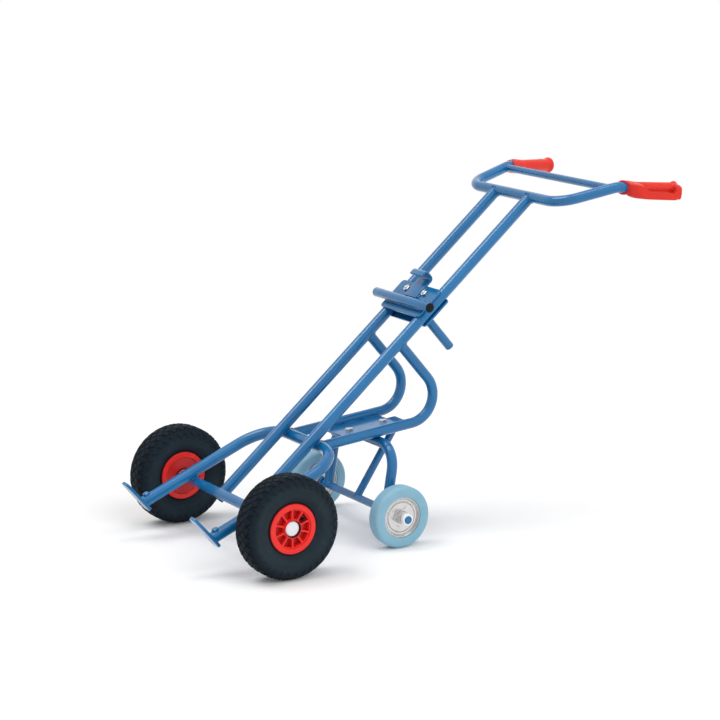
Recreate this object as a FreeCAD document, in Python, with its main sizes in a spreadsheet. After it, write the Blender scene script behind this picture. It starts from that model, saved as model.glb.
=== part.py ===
import FreeCAD, Part
import os
import re
import Sketcher
from FreeCAD import Placement, Rotation, Vector
from math import acos, atan2, cos, radians, sin, tan

# Drum trolley standing on its four wheels: two leaning rails on a two-wheeled base,
# a sliding clamp for the rim of a drum, a bow handle and a bolted-on rear support.
# Lengths are in millimetres, angles in degrees. X runs back towards the handle,
# Y across, Z up. Stations are measured along the rails, upwards from the main axle;
# depths are measured square to the rails, backwards from the rail axes.
SIZES = {
    # rails
    "rail_tilt": 40.8,
    "rail_diameter": 30.0,
    "rail_wall": 2.5,
    "rail_spacing": 154.6,
    "rail_setback": 18.5,
    "rail_tail": 9.0,
    # base hoop, bent from one tube, and the toes that its ends stand on
    "hoop_diameter": 30.0,
    "hoop_wall": 2.5,
    "hoop_spacing": 380.0,
    "hoop_station": 245.0,
    "hoop_bend_radius": 100.0,
    "toe_drop": 143.0,
    "toe_thickness": 8.0,
    "toe_length": 103.0,
    "toe_width": 38.0,
    "toe_tip_width": 30.0,
    "toe_taper_length": 36.0,
    "toe_heel": 24.0,
    "toe_corner_radius": 9.0,
    "stop_diameter": 18.0,
    "stop_height": 6.0,
    "stop_rise": 14.0,
    # main axle
    "axle_tube_diameter": 26.9,
    "axle_diameter": 20.0,
    "axle_seat_gap": 0.2,
    "axle_end_length": 2.0,
    "axle_washer_diameter": 29.0,
    "axle_washer_thickness": 2.5,
    "axle_ring_diameter": 26.0,
    "axle_ring_thickness": 1.5,
    "axle_groove_depth": 1.0,
    # main wheels
    "main_track": 584.0,
    "main_wheel_diameter": 260.0,
    "main_wheel_width": 85.0,
    "main_hub_length": 64.0,
    "main_hub_diameter": 47.0,
    "main_bearing_diameter": 29.6,
    "main_bearing_length": 16.0,
    "rim_diameter": 128.0,
    "rim_flange_thickness": 5.0,
    "rim_lip": 3.0,
    "rim_ring_width": 14.0,
    "rim_face_depth": 4.0,
    "bead_height": 8.0,
    "bead_width": 13.0,
    "rim_well_depth": 6.0,
    "pocket_diameter": 92.0,
    "pocket_depth": 15.0,
    "pocket_rib": 4.0,
    "tyre_lip": 2.0,
    "tyre_crown_thickness": 9.0,
    "tyre_side_thickness": 6.5,
    "tyre_shoulder_share": 0.4375,
    "tyre_side_share": 0.15625,
    "tread_depth": 3.0,
    "tread_groove_width": 2.8,
    "tread_angle": 41.0,
    "tread_end_angle": 53.0,
    "tread_level_share": 0.5,
    "inner_tube_wall": 2.0,
    "inner_tube_width_share": 0.9,
    "cap_diameter": 37.0,
    "cap_thickness": 3.0,
    "cap_recess": 5.0,
    "cap_recess_diameter": 43.0,
    "cap_spigot_length": 3.0,
    "valve_diameter": 8.0,
    "valve_length": 22.0,
    # rear support, bolted under the rear legs
    "leg_diameter": 26.9,
    "leg_wall": 2.6,
    "leg_station": 582.3,
    "leg_angle": 35.1,
    "leg_bend_radius": 70.0,
    "plate_lead": 83.57,
    "plate_length": 166.0,
    "plate_thickness": 6.0,
    "plate_drop": 5.0,
    "plate_bolt_inset": 36.5,
    "plate_bolt_pitch": 103.5,
    "support_plate_lead": 79.57,
    "support_plate_length": 198.0,
    "support_plate_width": 84.0,
    "support_plate_thickness": 6.0,
    "wheelbase": 372.8,
    "support_leg_lean": 9.2,
    "support_tube_diameter": 26.9,
    "support_tube_wall": 2.6,
    "support_bend_radius": 60.0,
    "brace_diameter": 20.0,
    "brace_wall": 2.5,
    "brace_lean": 33.5,
    "support_axle_diameter": 20.0,
    "support_axle_end": 15.0,
    "collar_diameter": 30.0,
    "collar_length": 8.0,
    "collar_gap": 8.05,
    "support_washer_diameter": 34.0,
    "support_washer_thickness": 2.5,
    "axle_end_ring_diameter": 30.0,
    "axle_end_ring_length": 12.0,
    "support_track": 415.2,
    "support_wheel_diameter": 160.0,
    "support_wheel_width": 40.0,
    "support_tyre_radius": 9.0,
    "support_hub_length": 58.0,
    "support_hub_diameter": 34.0,
    "support_bearing_diameter": 27.0,
    "disc_diameter": 105.0,
    "disc_thickness": 2.5,
    "disc_dish": 13.0,
    "disc_flange_width": 17.0,
    # handle
    "handle_station": 1114.0,
    "handle_diameter": 28.0,
    "handle_wall": 2.5,
    "handle_rise": 12.7,
    "handle_corner_spacing": 413.6,
    "handle_bend_radius": 70.0,
    "arm_splay": 14.2,
    "arm_setback": 158.0,
    "cross_bar_setback": 145.0,
    "cross_bar_diameter": 20.0,
    "cross_bar_wall": 2.0,
    "grip_splay": 12.2,
    "grip_fall": 4.3,
    "grip_bend_radius": 60.0,
    "grip_offset": 12.0,
    "grip_length": 155.0,
    "grip_diameter": 34.0,
    "grip_ring_diameter": 41.0,
    "grip_end_diameter": 43.0,
    "grip_flange_thickness": 8.0,
    "grip_end_wall": 6.0,
    "guard_reach": 46.0,
    "guard_thickness": 7.0,
    "guard_height": 24.0,
    "guard_drop": 12.0,
    "guard_post": 12.0,
    "guard_slope": 20.0,
    "guard_shell": 45.0,
    "guard_dip": 24.0,
    "guard_round_share": 0.8,
    # sliding clamp
    "clamp_station": 708.0,
    "clamp_plate_length": 96.0,
    "clamp_plate_width": 184.0,
    "clamp_plate_thickness": 5.0,
    "clamp_corner_radius": 10.0,
    "slide_gap": 0.3,
    "rest_tube_diameter": 25.0,
    "rest_tube_wall": 2.5,
    "rest_tube_length": 258.0,
    "rest_tube_drop": 19.0,
    "plug_length": 12.0,
    "plug_rim": 4.0,
    "lever_diameter": 24.0,
    "lever_length": 150.0,
    "lever_chamfer": 2.0,
    "hook_width": 56.0,
    "hook_thickness": 6.0,
    "hook_foot_rise": 2.0,
    "hook_height": 72.0,
    "hook_reach": 36.0,
    "hook_lip": 22.0,
    "clamp_bolt_spacing": 84.0,
    "clamp_bolt_rise": 24.0,
    "spacer_diameter": 18.0,
    # hexagon bolts and nuts
    "plate_bolt_diameter": 12.0,
    "plate_bolt_across": 19.0,
    "plate_bolt_head": 7.5,
    "clamp_bolt_diameter": 10.0,
    "clamp_bolt_across": 17.0,
    "clamp_bolt_head": 6.4,
    "bolt_end_length": 3.0,
    "bolt_hole_gap": 0.3,
    # fits
    "running_gap": 0.05,
    "side_play": 0.3,
    "seat_gap": 0.1,
    "cut_overrun": 20.0,
}

POCKET_COUNT = 10
TREAD_COUNT = 34
SIDES = {"left": -1, "right": 1}
EDGE_MATCH = 1e-4

# Lengths that follow from the driving ones, written as formulas.
LINKS = {
    "axle_height": "main_wheel_diameter / 2",
    "top_bar_depth": "(rail_diameter + hoop_diameter) / 2",
    "top_bar_setback": "rail_setback + top_bar_depth",
    "top_bar_x": "hoop_station * cos(rail_tilt) + top_bar_setback * sin(rail_tilt)",
    "top_bar_z": "axle_height + hoop_station * sin(rail_tilt) - top_bar_setback * cos(rail_tilt)",
    "hoop_clear": "(hoop_diameter + axle_tube_diameter) / 2",
    "hoop_lean": "atan(top_bar_setback / hoop_station)"
                 " + asin(hoop_clear / sqrt(hoop_station ^ 2 + top_bar_setback ^ 2))",
    "toe_top": "toe_drop - toe_thickness",
    "foot_depth": "top_bar_depth - tan(hoop_lean) * (hoop_station + toe_top)",
    "hoop_leg_length": "(hoop_station + toe_top) / cos(hoop_lean) + cut_overrun",
    "leg_reach": "leg_station - hoop_station",
    "leg_depth": "top_bar_depth + tan(leg_angle) * leg_reach",
    "leg_rise": "rail_tilt - leg_angle",
    "axle_fall": "top_bar_z - support_wheel_diameter / 2",
    "support_drop": "(wheelbase - top_bar_x) * sin(leg_rise) + axle_fall * cos(leg_rise)",
    "support_run": "(wheelbase - top_bar_x) * cos(leg_rise) - axle_fall * sin(leg_rise)",
    "stack_drop": "plate_drop + plate_thickness + support_plate_thickness",
    "support_height": "(support_drop - stack_drop - support_tube_diameter / 2)"
                      " / cos(support_leg_lean + leg_rise)",
    "support_bar_run": "support_run + support_height * sin(support_leg_lean + leg_rise)",
    "plate_start": "support_bar_run - plate_lead",
    "support_plate_start": "support_bar_run - support_plate_lead",
    "brace_length": "(support_drop - stack_drop) / cos(brace_lean + leg_rise) + cut_overrun",
    "main_hub_half": "main_hub_length / 2",
    "cap_seat": "main_hub_half - cap_recess - cap_thickness",
    "main_bearing_recess": "3 * side_play + axle_washer_thickness + axle_ring_thickness + axle_end_length"
                           " + cap_spigot_length + cap_recess + cap_thickness",
    "axle_tube_length": "main_track - main_hub_length - 2 * (axle_washer_thickness + 2 * side_play)",
    "axle_shoulder": "main_track / 2 + main_hub_half - main_bearing_recess + 2 * side_play",
    "axle_groove": "axle_shoulder + axle_washer_thickness",
    "axle_half": "axle_groove + axle_ring_thickness + axle_end_length",
    "rim_bore": "main_bearing_diameter / 2",
    "rim_edge": "rim_diameter / 2",
    "rim_seat": "rim_edge - bead_height",
    "rim_shoulder": "main_hub_half - rim_flange_thickness",
    "bead_toe": "rim_shoulder - bead_width",
    "tyre_bore": "rim_seat + seat_gap",
    "tyre_crown": "main_wheel_diameter / 2 - tyre_crown_thickness",
    "tyre_inside": "main_wheel_width / 2 - tyre_side_thickness",
    "tyre_root": "rim_edge + tyre_lip",
    "tyre_section": "main_wheel_diameter / 2 - tyre_root",
    "tyre_shoulder_radius": "tyre_shoulder_share * tyre_section",
    "tyre_side_radius": "tyre_side_share * tyre_section",
    "groove_floor": "main_wheel_diameter / 2 - tread_depth",
    "groove_exit": "tyre_shoulder_radius + tread_depth / 2",
    "tread_half": "main_wheel_width / 2 - tyre_shoulder_radius + groove_exit * sin(tread_end_angle)",
    "tread_edge": "main_wheel_diameter / 2 - tyre_shoulder_radius + groove_exit * cos(tread_end_angle)",
    "groove_reach": "tread_half / cos(tread_angle)",
    "groove_end": "sqrt(tread_edge ^ 2 - (tread_half * tan(tread_angle)) ^ 2)",
    "ring_inside": "rim_edge - rim_ring_width",
    "rim_web": "main_hub_half - rim_face_depth",
    "pocket_floor": "rim_web - pocket_depth",
    "inner_tube_radius": "min((tyre_crown - tyre_root) / 2; inner_tube_width_share * tyre_inside)"
                         " - side_play",
    "support_hub_half": "support_hub_length / 2",
    "collar_end": "support_track / 2 - support_hub_half - 2 * side_play - support_washer_thickness",
    "washer_start": "support_track / 2 + support_hub_half + side_play",
    "support_axle_half": "washer_start + support_washer_thickness + support_axle_end",
    "support_leg_spacing": "2 * (collar_end - collar_length - collar_gap) - support_tube_diameter",
    "disc_edge": "disc_diameter / 2",
    "clamp_inside": "rail_diameter / 2 + slide_gap",
    "clamp_outside": "clamp_inside + clamp_plate_thickness",
    "rest_tube_depth": "clamp_outside + rest_tube_diameter / 2",
    "guard_foot": "guard_drop + guard_height / 2",
    "guard_ledge": "guard_height / 2 - guard_drop",
    "grip_bore": "handle_diameter / 2 + seat_gap",
    "grip_bore_depth": "grip_length - grip_end_wall",
}

doc = FreeCAD.newDocument("DrumTrolley")
sheet = doc.addObject("Spreadsheet::Sheet", "Sizes")
for row, (alias, value) in enumerate(SIZES.items(), start=1):
    sheet.set(f"A{row}", alias)
    sheet.set(f"B{row}", str(value))
    sheet.setAlias(f"B{row}", alias)
doc.recompute()


def expand(formula):
    """The formula with every name written out in cells of the sheet."""

    def cell(match):
        name = match.group(0)
        if name in LINKS:
            return f"({expand(LINKS[name])})"
        return f"Sizes.{name}" if name in SIZES else name

    return re.sub(r"[a-z_]+", cell, formula)


def number(formula):
    found = sheet.evalExpression(expand(formula))
    return float(getattr(found, "Value", found))


def bind(thing, size_name, formula):
    thing.setExpression(size_name, expand(formula))


ACROSS = Vector(0, 1, 0)
BACK = Vector(1, 0, 0)
UP = Vector(0, 0, 1)
TILT = radians(number("rail_tilt"))
ALONG = Vector(cos(TILT), 0, sin(TILT))
REAR = Vector(sin(TILT), 0, -cos(TILT))
RISE = radians(number("leg_rise"))
LEG_RUN = Vector(cos(RISE), 0, sin(RISE))
LEG_UP = Vector(-sin(RISE), 0, cos(RISE))


def axes(origin, x_axis, y_axis):
    return Placement(origin, Rotation(x_axis, y_axis, x_axis.cross(y_axis), "ZXY"))


def on_rails(station, depth, across):
    """A point by its station and depth on the rails and its place across them."""
    axle = UP * number("axle_height")
    along = ALONG * number(station)
    return axle + along + REAR * (number("rail_setback") + number(depth)) + ACROSS * number(across)


def under_legs(run, drop, across):
    """A point by its run along the rear legs' lower tubes, its drop below them and its side."""
    start = on_rails("hoop_station", "top_bar_depth", "0")
    return start + LEG_RUN * number(run) - LEG_UP * number(drop) + ACROSS * number(across)


def on_axle(height, reach, across):
    return Vector(number(reach), number(across), number(height))


def sketch_in(body, role, name):
    sketch = body.newObject("Sketcher::SketchObject", f"{body.Name}_{name}")
    origin_plane = next(p for p in body.Origin.OriginFeatures if p.Role == role)
    sketch.AttachmentSupport = [(origin_plane, "")]
    sketch.MapMode = "FlatFace"
    return sketch


def fix(sketch, kind, first, second, formula):
    """Adds a dimension from the first point to the second and binds it to the sheet."""
    length = number(formula)
    if length < 0:
        first, second, formula = second, first, f"-({formula})"
    index = sketch.addConstraint(Sketcher.Constraint(kind, *first, *second, abs(length)))
    bind(sketch, f"Constraints[{index}]", formula)


def pin(sketch, point, x, y):
    """Fixes a point of the sketch at x, y; a zero puts it on the axis."""
    for kind, formula, axis in (("DistanceX", x, -2), ("DistanceY", y, -1)):
        if formula == "0":
            sketch.addConstraint(Sketcher.Constraint("PointOnObject", *point, axis))
        else:
            fix(sketch, kind, (-1, 1), point, formula)


def outline(sketch, corners):
    """A closed polygon through the corners, each given as two formulas."""
    points = [Vector(number(x), number(y), 0) for x, y in corners]
    lines = [
        sketch.addGeometry(Part.LineSegment(start, end), False)
        for start, end in zip(points, points[1:] + points[:1])
    ]
    for line, following in zip(lines, lines[1:] + lines[:1]):
        sketch.addConstraint(Sketcher.Constraint("Coincident", line, 2, following, 1))
    for line, (x, y) in zip(lines, corners):
        pin(sketch, (line, 1), x, y)


def circle(sketch, x, y, radius):
    centre = Vector(number(x), number(y), 0)
    ring = sketch.addGeometry(Part.Circle(centre, UP, number(radius)), False)
    index = sketch.addConstraint(Sketcher.Constraint("Radius", ring, number(radius)))
    bind(sketch, f"Constraints[{index}]", radius)
    pin(sketch, (ring, 3), x, y)


def plate(name, corners, thickness, place, holes=(), middle=False):
    """A flat plate: an outline with round holes, padded to its thickness."""
    body = doc.addObject("PartDesign::Body", name)
    sketch = sketch_in(body, "XY_Plane", "outline")
    outline(sketch, corners)
    for x, y, radius in holes:
        circle(sketch, x, y, radius)
    pad = body.newObject("PartDesign::Pad", f"{name}_pad")
    pad.Profile = sketch
    pad.SideType = "Symmetric" if middle else "One side"
    bind(pad, "Length", thickness)
    body.Placement = place
    doc.recompute()
    return body


def revolve(body, corners, role, axis):
    sketch = sketch_in(body, role, "section")
    outline(sketch, corners)
    turn = body.newObject("PartDesign::Revolution", f"{body.Name}_turn")
    turn.Profile = sketch
    turn.ReferenceAxis = (sketch, [axis])
    turn.Angle = 360
    doc.recompute()


def turned(name, corners, place):
    """A body turned about its own Z, from corners given as radius and height."""
    body = doc.addObject("PartDesign::Body", name)
    revolve(body, corners, "XZ_Plane", "V_Axis")
    body.Placement = place
    return body


def mirrored(corners):
    """A section and its reflection below the middle plane, as one closed outline."""
    return corners + [(radius, f"-({height})") for radius, height in reversed(corners)]


def round_edges(body, radius, picks):
    """Rounds the edges of the body that picks accepts, looked at before its placement."""
    feature = body.Tip
    edges = [f"Edge{i}" for i, edge in enumerate(feature.Shape.Edges, start=1) if picks(edge)]
    fillet = body.newObject("PartDesign::Fillet", f"{body.Name}_round{len(body.Group)}")
    fillet.Base = (feature, edges)
    bind(fillet, "Radius", radius)
    doc.recompute()


def upright(edge):
    return abs(edge.tangentAt(edge.FirstParameter).z) > 1 - 1e-6 and len(edge.Vertexes) == 2


def ring_edge(radius, height):
    """Picks the circular edges of a turned body with this radius, on both sides at this height."""

    def picks(edge):
        curve = edge.Curve
        if not isinstance(curve, Part.Circle):
            return False
        near = abs(curve.Radius - number(radius)) < EDGE_MATCH
        return near and abs(abs(curve.Center.z) - number(height)) < EDGE_MATCH

    return picks


def rod(name, radius, length, place):
    bar = doc.addObject("Part::Cylinder", name)
    bind(bar, "Radius", radius)
    bind(bar, "Height", length)
    bar.Placement = place
    return bar


def middle_rod(name, radius, length, centre, axis=ACROSS, side_axis=BACK):
    """A rod centred on a point."""
    start = centre - axis * (number(length) / 2)
    return rod(name, radius, length, axes(start, side_axis, axis.cross(side_axis)))


def carve(name, base, *tools):
    """The base with every tool cut out of it."""
    for count, tool in enumerate(tools, start=1):
        cut = doc.addObject("Part::Cut", name if count == len(tools) else f"{name}_cut{count}")
        cut.Base = base
        cut.Tool = tool
        base = cut
    return base


def slab(name, length, width, height, place):
    """A block centred on its placement in X and Y and rising from it."""
    block = doc.addObject("Part::Box", name)
    bind(block, "Length", length)
    bind(block, "Width", width)
    bind(block, "Height", height)
    shift = Vector(-number(length) / 2, -number(width) / 2, 0)
    block.Placement = place.multiply(Placement(shift, Rotation()))
    return block


def ring(name, outer_radius, inner_radius, length, place):
    core = rod(f"{name}_bore", inner_radius, length, place)
    return carve(name, rod(f"{name}_outer", outer_radius, length, place), core)


def group(name, pieces):
    together = doc.addObject("Part::Compound", name)
    together.Links = pieces
    return together


def hexagon(name, across, height, place):
    prism = doc.addObject("Part::Prism", name)
    prism.Polygon = 6
    bind(prism, "Circumradius", f"{across} / 2 / cos(30)")
    bind(prism, "Height", height)
    prism.Placement = place
    return prism


def hex_bolt(name, diameter, across, head, length, seat, direction, side_axis):
    """A bolt whose head sits on the seat and whose shank runs in the direction."""
    inward = axes(seat, side_axis, direction.cross(side_axis))
    outward = axes(seat, side_axis, (-direction).cross(side_axis))
    bolt = doc.addObject("Part::Fuse", name)
    bolt.Base = hexagon(f"{name}_head", across, head, outward)
    bolt.Tool = rod(f"{name}_shank", f"{diameter} / 2", length, inward)
    return bolt


def hex_nut(name, diameter, across, height, seat, direction, side_axis):
    place = axes(seat, side_axis, direction.cross(side_axis))
    bore = rod(f"{name}_bore", f"{diameter} / 2 + seat_gap", height, place)
    return carve(name, hexagon(f"{name}_block", across, height, place), bore)


def bend(previous, corner, following, radius):
    """Tangent points and centre of the arc that rounds a corner between two straight runs."""
    inward = (previous - corner).normalize()
    onward = (following - corner).normalize()
    half_angle = acos(max(-1, min(1, inward * onward))) / 2
    reach = radius / tan(half_angle)
    middle = (inward + onward).normalize()
    return corner + inward * reach, corner + onward * reach, corner + middle * (radius / sin(half_angle))


def bent_path(sketch, corners, radius):
    """Straight runs joined by tangent arcs; the first corner is the sketch's origin."""
    points = [Vector(number(x), number(y), 0) for x, y in corners]
    size = number(radius)
    bends = [bend(*points[i - 1:i + 2], size) for i in range(1, len(points) - 1)]
    starts = [points[0]] + [arc[1] for arc in bends]
    ends = [arc[0] for arc in bends] + [points[-1]]
    runs = [sketch.addGeometry(Part.LineSegment(a, b), False) for a, b in zip(starts, ends)]
    sketch.addConstraint(Sketcher.Constraint("Coincident", runs[0], 1, -1, 1))
    for i, (enter, leave, centre) in enumerate(bends):
        to_left = (enter - centre).cross(leave - centre).z > 0
        low, high = (enter, leave) if to_left else (leave, enter)
        angles = [atan2(p.y - centre.y, p.x - centre.x) for p in (low, high)]
        arc = sketch.addGeometry(Part.ArcOfCircle(Part.Circle(centre, UP, size), *angles), False)
        arc_start, arc_end = (1, 2) if to_left else (2, 1)
        sketch.addConstraint(Sketcher.Constraint("Tangent", runs[i], 2, arc, arc_start))
        sketch.addConstraint(Sketcher.Constraint("Tangent", arc, arc_end, runs[i + 1], 1))
        index = sketch.addConstraint(Sketcher.Constraint("Radius", arc, size))
        bind(sketch, f"Constraints[{index}]", radius)
        corner = sketch.addGeometry(Part.Point(points[i + 1]), True)
        for run in (runs[i], runs[i + 1]):
            sketch.addConstraint(Sketcher.Constraint("PointOnObject", corner, 1, run))
        pin(sketch, (corner, 1), *corners[i + 1])
    pin(sketch, (runs[-1], 2), *corners[-1])


def bent_tube(name, corners, bend_radius, diameter, wall, place):
    """A tube along a bent path whose first run leaves the origin along Y."""
    body = doc.addObject("PartDesign::Body", name)
    path = sketch_in(body, "XY_Plane", "path")
    bent_path(path, corners, bend_radius)
    section = sketch_in(body, "XZ_Plane", "section")
    circle(section, "0", "0", f"{diameter} / 2")
    circle(section, "0", "0", f"{diameter} / 2 - {wall}")
    pipe = body.newObject("PartDesign::AdditivePipe", f"{name}_pipe")
    pipe.Profile = section
    pipe.Spine = path
    body.Placement = place
    doc.recompute()
    return body


def wheel_axes(side, track, height, reach):
    """Axes of a wheel: Z outwards from the trolley, Y up."""
    outward = ACROSS * SIDES[side]
    centre = on_axle(height, reach, f"{SIDES[side]} * {track} / 2")
    return axes(centre, UP.cross(outward), UP)


def shifted(place, height):
    """The same axes moved along their own Z."""
    return place.multiply(Placement(UP * number(height), Rotation()))


nodes = []


def keep(piece, name):
    """Names a finished piece and lists it for the parts folder."""
    piece.Label = name
    nodes.append(piece)
    return piece


# Handle bow: one tube, bent square at the front corners and a little down at the grips.
def tube_along(points, bends, radius):
    """A solid round bar through the points, with an arc at every inner one."""
    edges = []
    start = points[0]
    for i, size in enumerate(bends, start=1):
        enter, leave, centre = bend(points[i - 1], points[i], points[i + 1], size)
        middle = centre + (points[i] - centre).normalize() * size
        edges.append(Part.makeLine(start, enter))
        edges.append(Part.Arc(enter, middle, leave).toShape())
        start = leave
    edges.append(Part.makeLine(start, points[-1]))
    section = Part.Wire(Part.makeCircle(radius, points[0], points[1] - points[0]))
    return Part.Wire(edges).makePipeShell([section], True, False)


HANDLE_RISE = radians(number("handle_rise"))
ARM_BACK = Vector(cos(HANDLE_RISE), 0, sin(HANDLE_RISE))
handle_front = on_rails("handle_station", "0", "0")


def handle_points(side):
    """Front corner, kink and grip direction of one side of the bow."""
    outward = ACROSS * SIDES[side]
    corner = handle_front + outward * number("handle_corner_spacing / 2")
    splay = number("arm_setback * tan(arm_splay)")
    kink = corner + ARM_BACK * number("arm_setback") + outward * splay
    turn = radians(number("grip_splay"))
    fall = radians(number("grip_fall"))
    level = BACK * cos(turn) + outward * sin(turn)
    return corner, kink, level * cos(fall) - UP * sin(fall)


def bow_points():
    left_corner, left_kink, left_way = handle_points("left")
    right_corner, right_kink, right_way = handle_points("right")
    reach = number("grip_offset + grip_bore_depth - side_play")
    ends = left_kink + left_way * reach, right_kink + right_way * reach
    return [ends[0], left_kink, left_corner, right_corner, right_kink, ends[1]]


left_bends = [number("grip_bend_radius"), number("handle_bend_radius")]
bow_bends = left_bends + left_bends[::-1]
bow_envelope = doc.addObject("Part::Feature", "handle_envelope")
bow_envelope.Shape = tube_along(bow_points(), bow_bends, number("handle_diameter / 2"))
bow_core = tube_along(bow_points(), bow_bends, number("handle_diameter / 2 - handle_wall"))
handle_bow = doc.addObject("Part::Feature", "handle_bow")
handle_bow.Shape = bow_envelope.Shape.cut(bow_core)
handle_bow.Placement = Placement()
keep(handle_bow, "handle_bow")

bar_length = "handle_corner_spacing + 2 * cross_bar_setback * tan(arm_splay)"
bar_centre = handle_front + ARM_BACK * number("cross_bar_setback")
cross_bar = middle_rod("cross_bar_outer", "cross_bar_diameter / 2", bar_length, bar_centre)
cross_core = middle_rod("cross_bar_core", "cross_bar_diameter / 2 - cross_bar_wall", bar_length, bar_centre)
keep(carve("handle_cross_bar", cross_bar, cross_core, bow_envelope), "handle_cross_bar")


def grip(side):
    """A sleeve with an inner ring and an end flange, and outside it a guard for the knuckles.

    The guard is as high as the sleeve at both ends and low between them."""
    name = f"{side}_grip"
    body = doc.addObject("PartDesign::Body", name)
    sleeve, end_start = "grip_diameter / 2", "grip_length - grip_flange_thickness"
    revolve(body, [
        ("0", "grip_bore"),
        ("0", "grip_ring_diameter / 2"),
        ("grip_flange_thickness", "grip_ring_diameter / 2"),
        ("grip_flange_thickness", sleeve),
        (end_start, sleeve),
        (end_start, "grip_end_diameter / 2"),
        ("grip_length", "grip_end_diameter / 2"),
        ("grip_length", "0"),
        ("grip_bore_depth", "0"),
        ("grip_bore_depth", "grip_bore"),
    ], "XY_Plane", "H_Axis")
    root, inside = "(grip_bore + grip_diameter / 2) / 2", "guard_reach - guard_thickness"
    guard = sketch_in(body, "XY_Plane", "guard")
    outline(guard, [
        (x, f"{SIDES[side]} * ({y})") for x, y in [
            ("0", root),
            ("0", "guard_reach - guard_slope"),
            ("guard_slope", "guard_reach"),
            ("grip_length", "guard_reach"),
            ("grip_length", root),
            ("grip_length - guard_post", root),
            ("grip_length - guard_post", inside),
            ("guard_post + guard_slope", inside),
            ("guard_post", "guard_reach - guard_slope"),
            ("guard_post", root),
        ]
    ])
    bind(guard, "AttachmentOffset.Base.z", f"({sleeve} - guard_foot) / 2")
    pad = body.newObject("PartDesign::Pad", f"{name}_guard_pad")
    pad.Profile = guard
    pad.SideType = "Symmetric"
    bind(pad, "Length", f"guard_foot + {sleeve}")
    doc.recompute()
    whole = body.Shape.Volume
    dip = sketch_in(body, "XZ_Plane", "dip")
    outline(dip, [
        ("guard_shell", f"{sleeve} + cut_overrun"),
        ("guard_shell", sleeve),
        ("guard_shell + guard_dip", "guard_ledge"),
        ("grip_length - guard_post", "guard_ledge"),
        ("grip_length - guard_post", f"{sleeve} + cut_overrun"),
    ])
    bind(dip, "AttachmentOffset.Base.z", f"{-SIDES[side]} * (guard_reach - guard_thickness / 2)")
    cut = body.newObject("PartDesign::Pocket", f"{name}_dip_cut")
    cut.Profile = dip
    cut.SideType = "Symmetric"
    bind(cut, "Length", "2 * guard_thickness")
    doc.recompute()
    if body.Shape.Volume >= whole:
        raise RuntimeError(f"{name}: the dip cuts nothing")

    def outer_top(edge):
        """Picks the guard's straight upper edges on its outside, where it is as high as the sleeve."""
        ends = [vertex.Point for vertex in edge.Vertexes]
        level = all(abs(end.z - number(sleeve)) < EDGE_MATCH for end in ends)
        outside = max(abs(end.y) for end in ends) > number("guard_reach") - EDGE_MATCH
        along = len(ends) == 2 and abs(ends[0].x - ends[1].x) > number("guard_thickness")
        return level and outside and along

    round_edges(body, "guard_round_share * guard_thickness", outer_top)
    corner, kink, way = handle_points(side)
    body.Placement = axes(kink + way * number("grip_offset"), way, UP.cross(way).normalize())
    doc.recompute()
    return body


for side in SIDES:
    keep(grip(side), f"{side}_grip")


# Rails: straight tubes, coped on the axle tube below and on the handle above.
axle_centre = UP * number("axle_height")
for side, sign in SIDES.items():
    foot = on_rails("-rail_tail", "0", f"{sign} * rail_spacing / 2")
    rail_place = axes(foot, REAR, ACROSS)
    rail_length = "handle_station + rail_tail"
    name = f"{side}_rail"
    outer = rod(f"{name}_outer", "rail_diameter / 2", rail_length, rail_place)
    bore = rod(f"{name}_bore", "rail_diameter / 2 - rail_wall", rail_length, rail_place)
    cope = middle_rod(f"{name}_cope", "axle_tube_diameter / 2", "axle_tube_length", axle_centre)
    keep(carve(name, outer, bore, cope, bow_envelope), name)


# Base hoop: legs in front of the axle tube, top bar behind the rails, feet cut flat on the toes.
lean = radians(number("hoop_lean"))
hoop_up = ALONG * cos(lean) + REAR * sin(lean)
hoop_top = on_rails("hoop_station", "top_bar_depth", "-hoop_spacing / 2")
hoop_place = axes(hoop_top - hoop_up * number("hoop_leg_length"), ACROSS, hoop_up)
hoop_tube = bent_tube("base_hoop_tube", [
    ("0", "0"),
    ("0", "hoop_leg_length"),
    ("hoop_spacing", "hoop_leg_length"),
    ("hoop_spacing", "0"),
], "hoop_bend_radius", "hoop_diameter", "hoop_wall", hoop_place)
below_toes = axes(on_rails("-toe_top - 4 * cut_overrun", "foot_depth", "0"), REAR, ACROSS)
hoop_trim = slab("base_hoop_trim", "toe_length", "hoop_spacing + 2 * hoop_diameter",
                 "4 * cut_overrun", below_toes)
keep(carve("base_hoop", hoop_tube, hoop_trim), "base_hoop")

for side, sign in SIDES.items():
    half, tip = "toe_width / 2", "toe_tip_width / 2"
    nose, bevel = "toe_heel - toe_length", "toe_heel - toe_length + toe_taper_length"
    toe_place = axes(on_rails("-toe_drop", "foot_depth", f"{sign} * hoop_spacing / 2"), REAR, ACROSS)
    toe = plate(f"{side}_toe_plate", [
        ("toe_heel", f"-{half}"),
        ("toe_heel", half),
        (bevel, half),
        (nose, tip),
        (nose, f"-{tip}"),
        (bevel, f"-{half}"),
    ], "toe_thickness", toe_place)
    round_edges(toe, "toe_corner_radius", upright)
    keep(toe, f"{side}_toe_plate")

    stop_axis = hoop_up.cross(ACROSS)
    stop_root = (on_rails("-toe_top", "foot_depth", f"{sign} * hoop_spacing / 2")
                 + hoop_up * number("stop_rise"))
    name = f"{side}_chime_stop"
    stop = turned(f"{name}_stub", [
        ("0", "0"),
        ("stop_diameter / 2", "0"),
        ("stop_diameter / 2", "hoop_diameter / 2 + stop_height / 2"),
        ("stop_diameter / 4", "hoop_diameter / 2 + stop_height"),
        ("0", "hoop_diameter / 2 + stop_height"),
    ], axes(stop_root, hoop_up, stop_axis.cross(hoop_up)))
    saddle = middle_rod(f"{name}_saddle", "hoop_diameter / 2", "hoop_leg_length", stop_root, hoop_up, ACROSS)
    keep(carve(name, stop, saddle), name)


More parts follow.
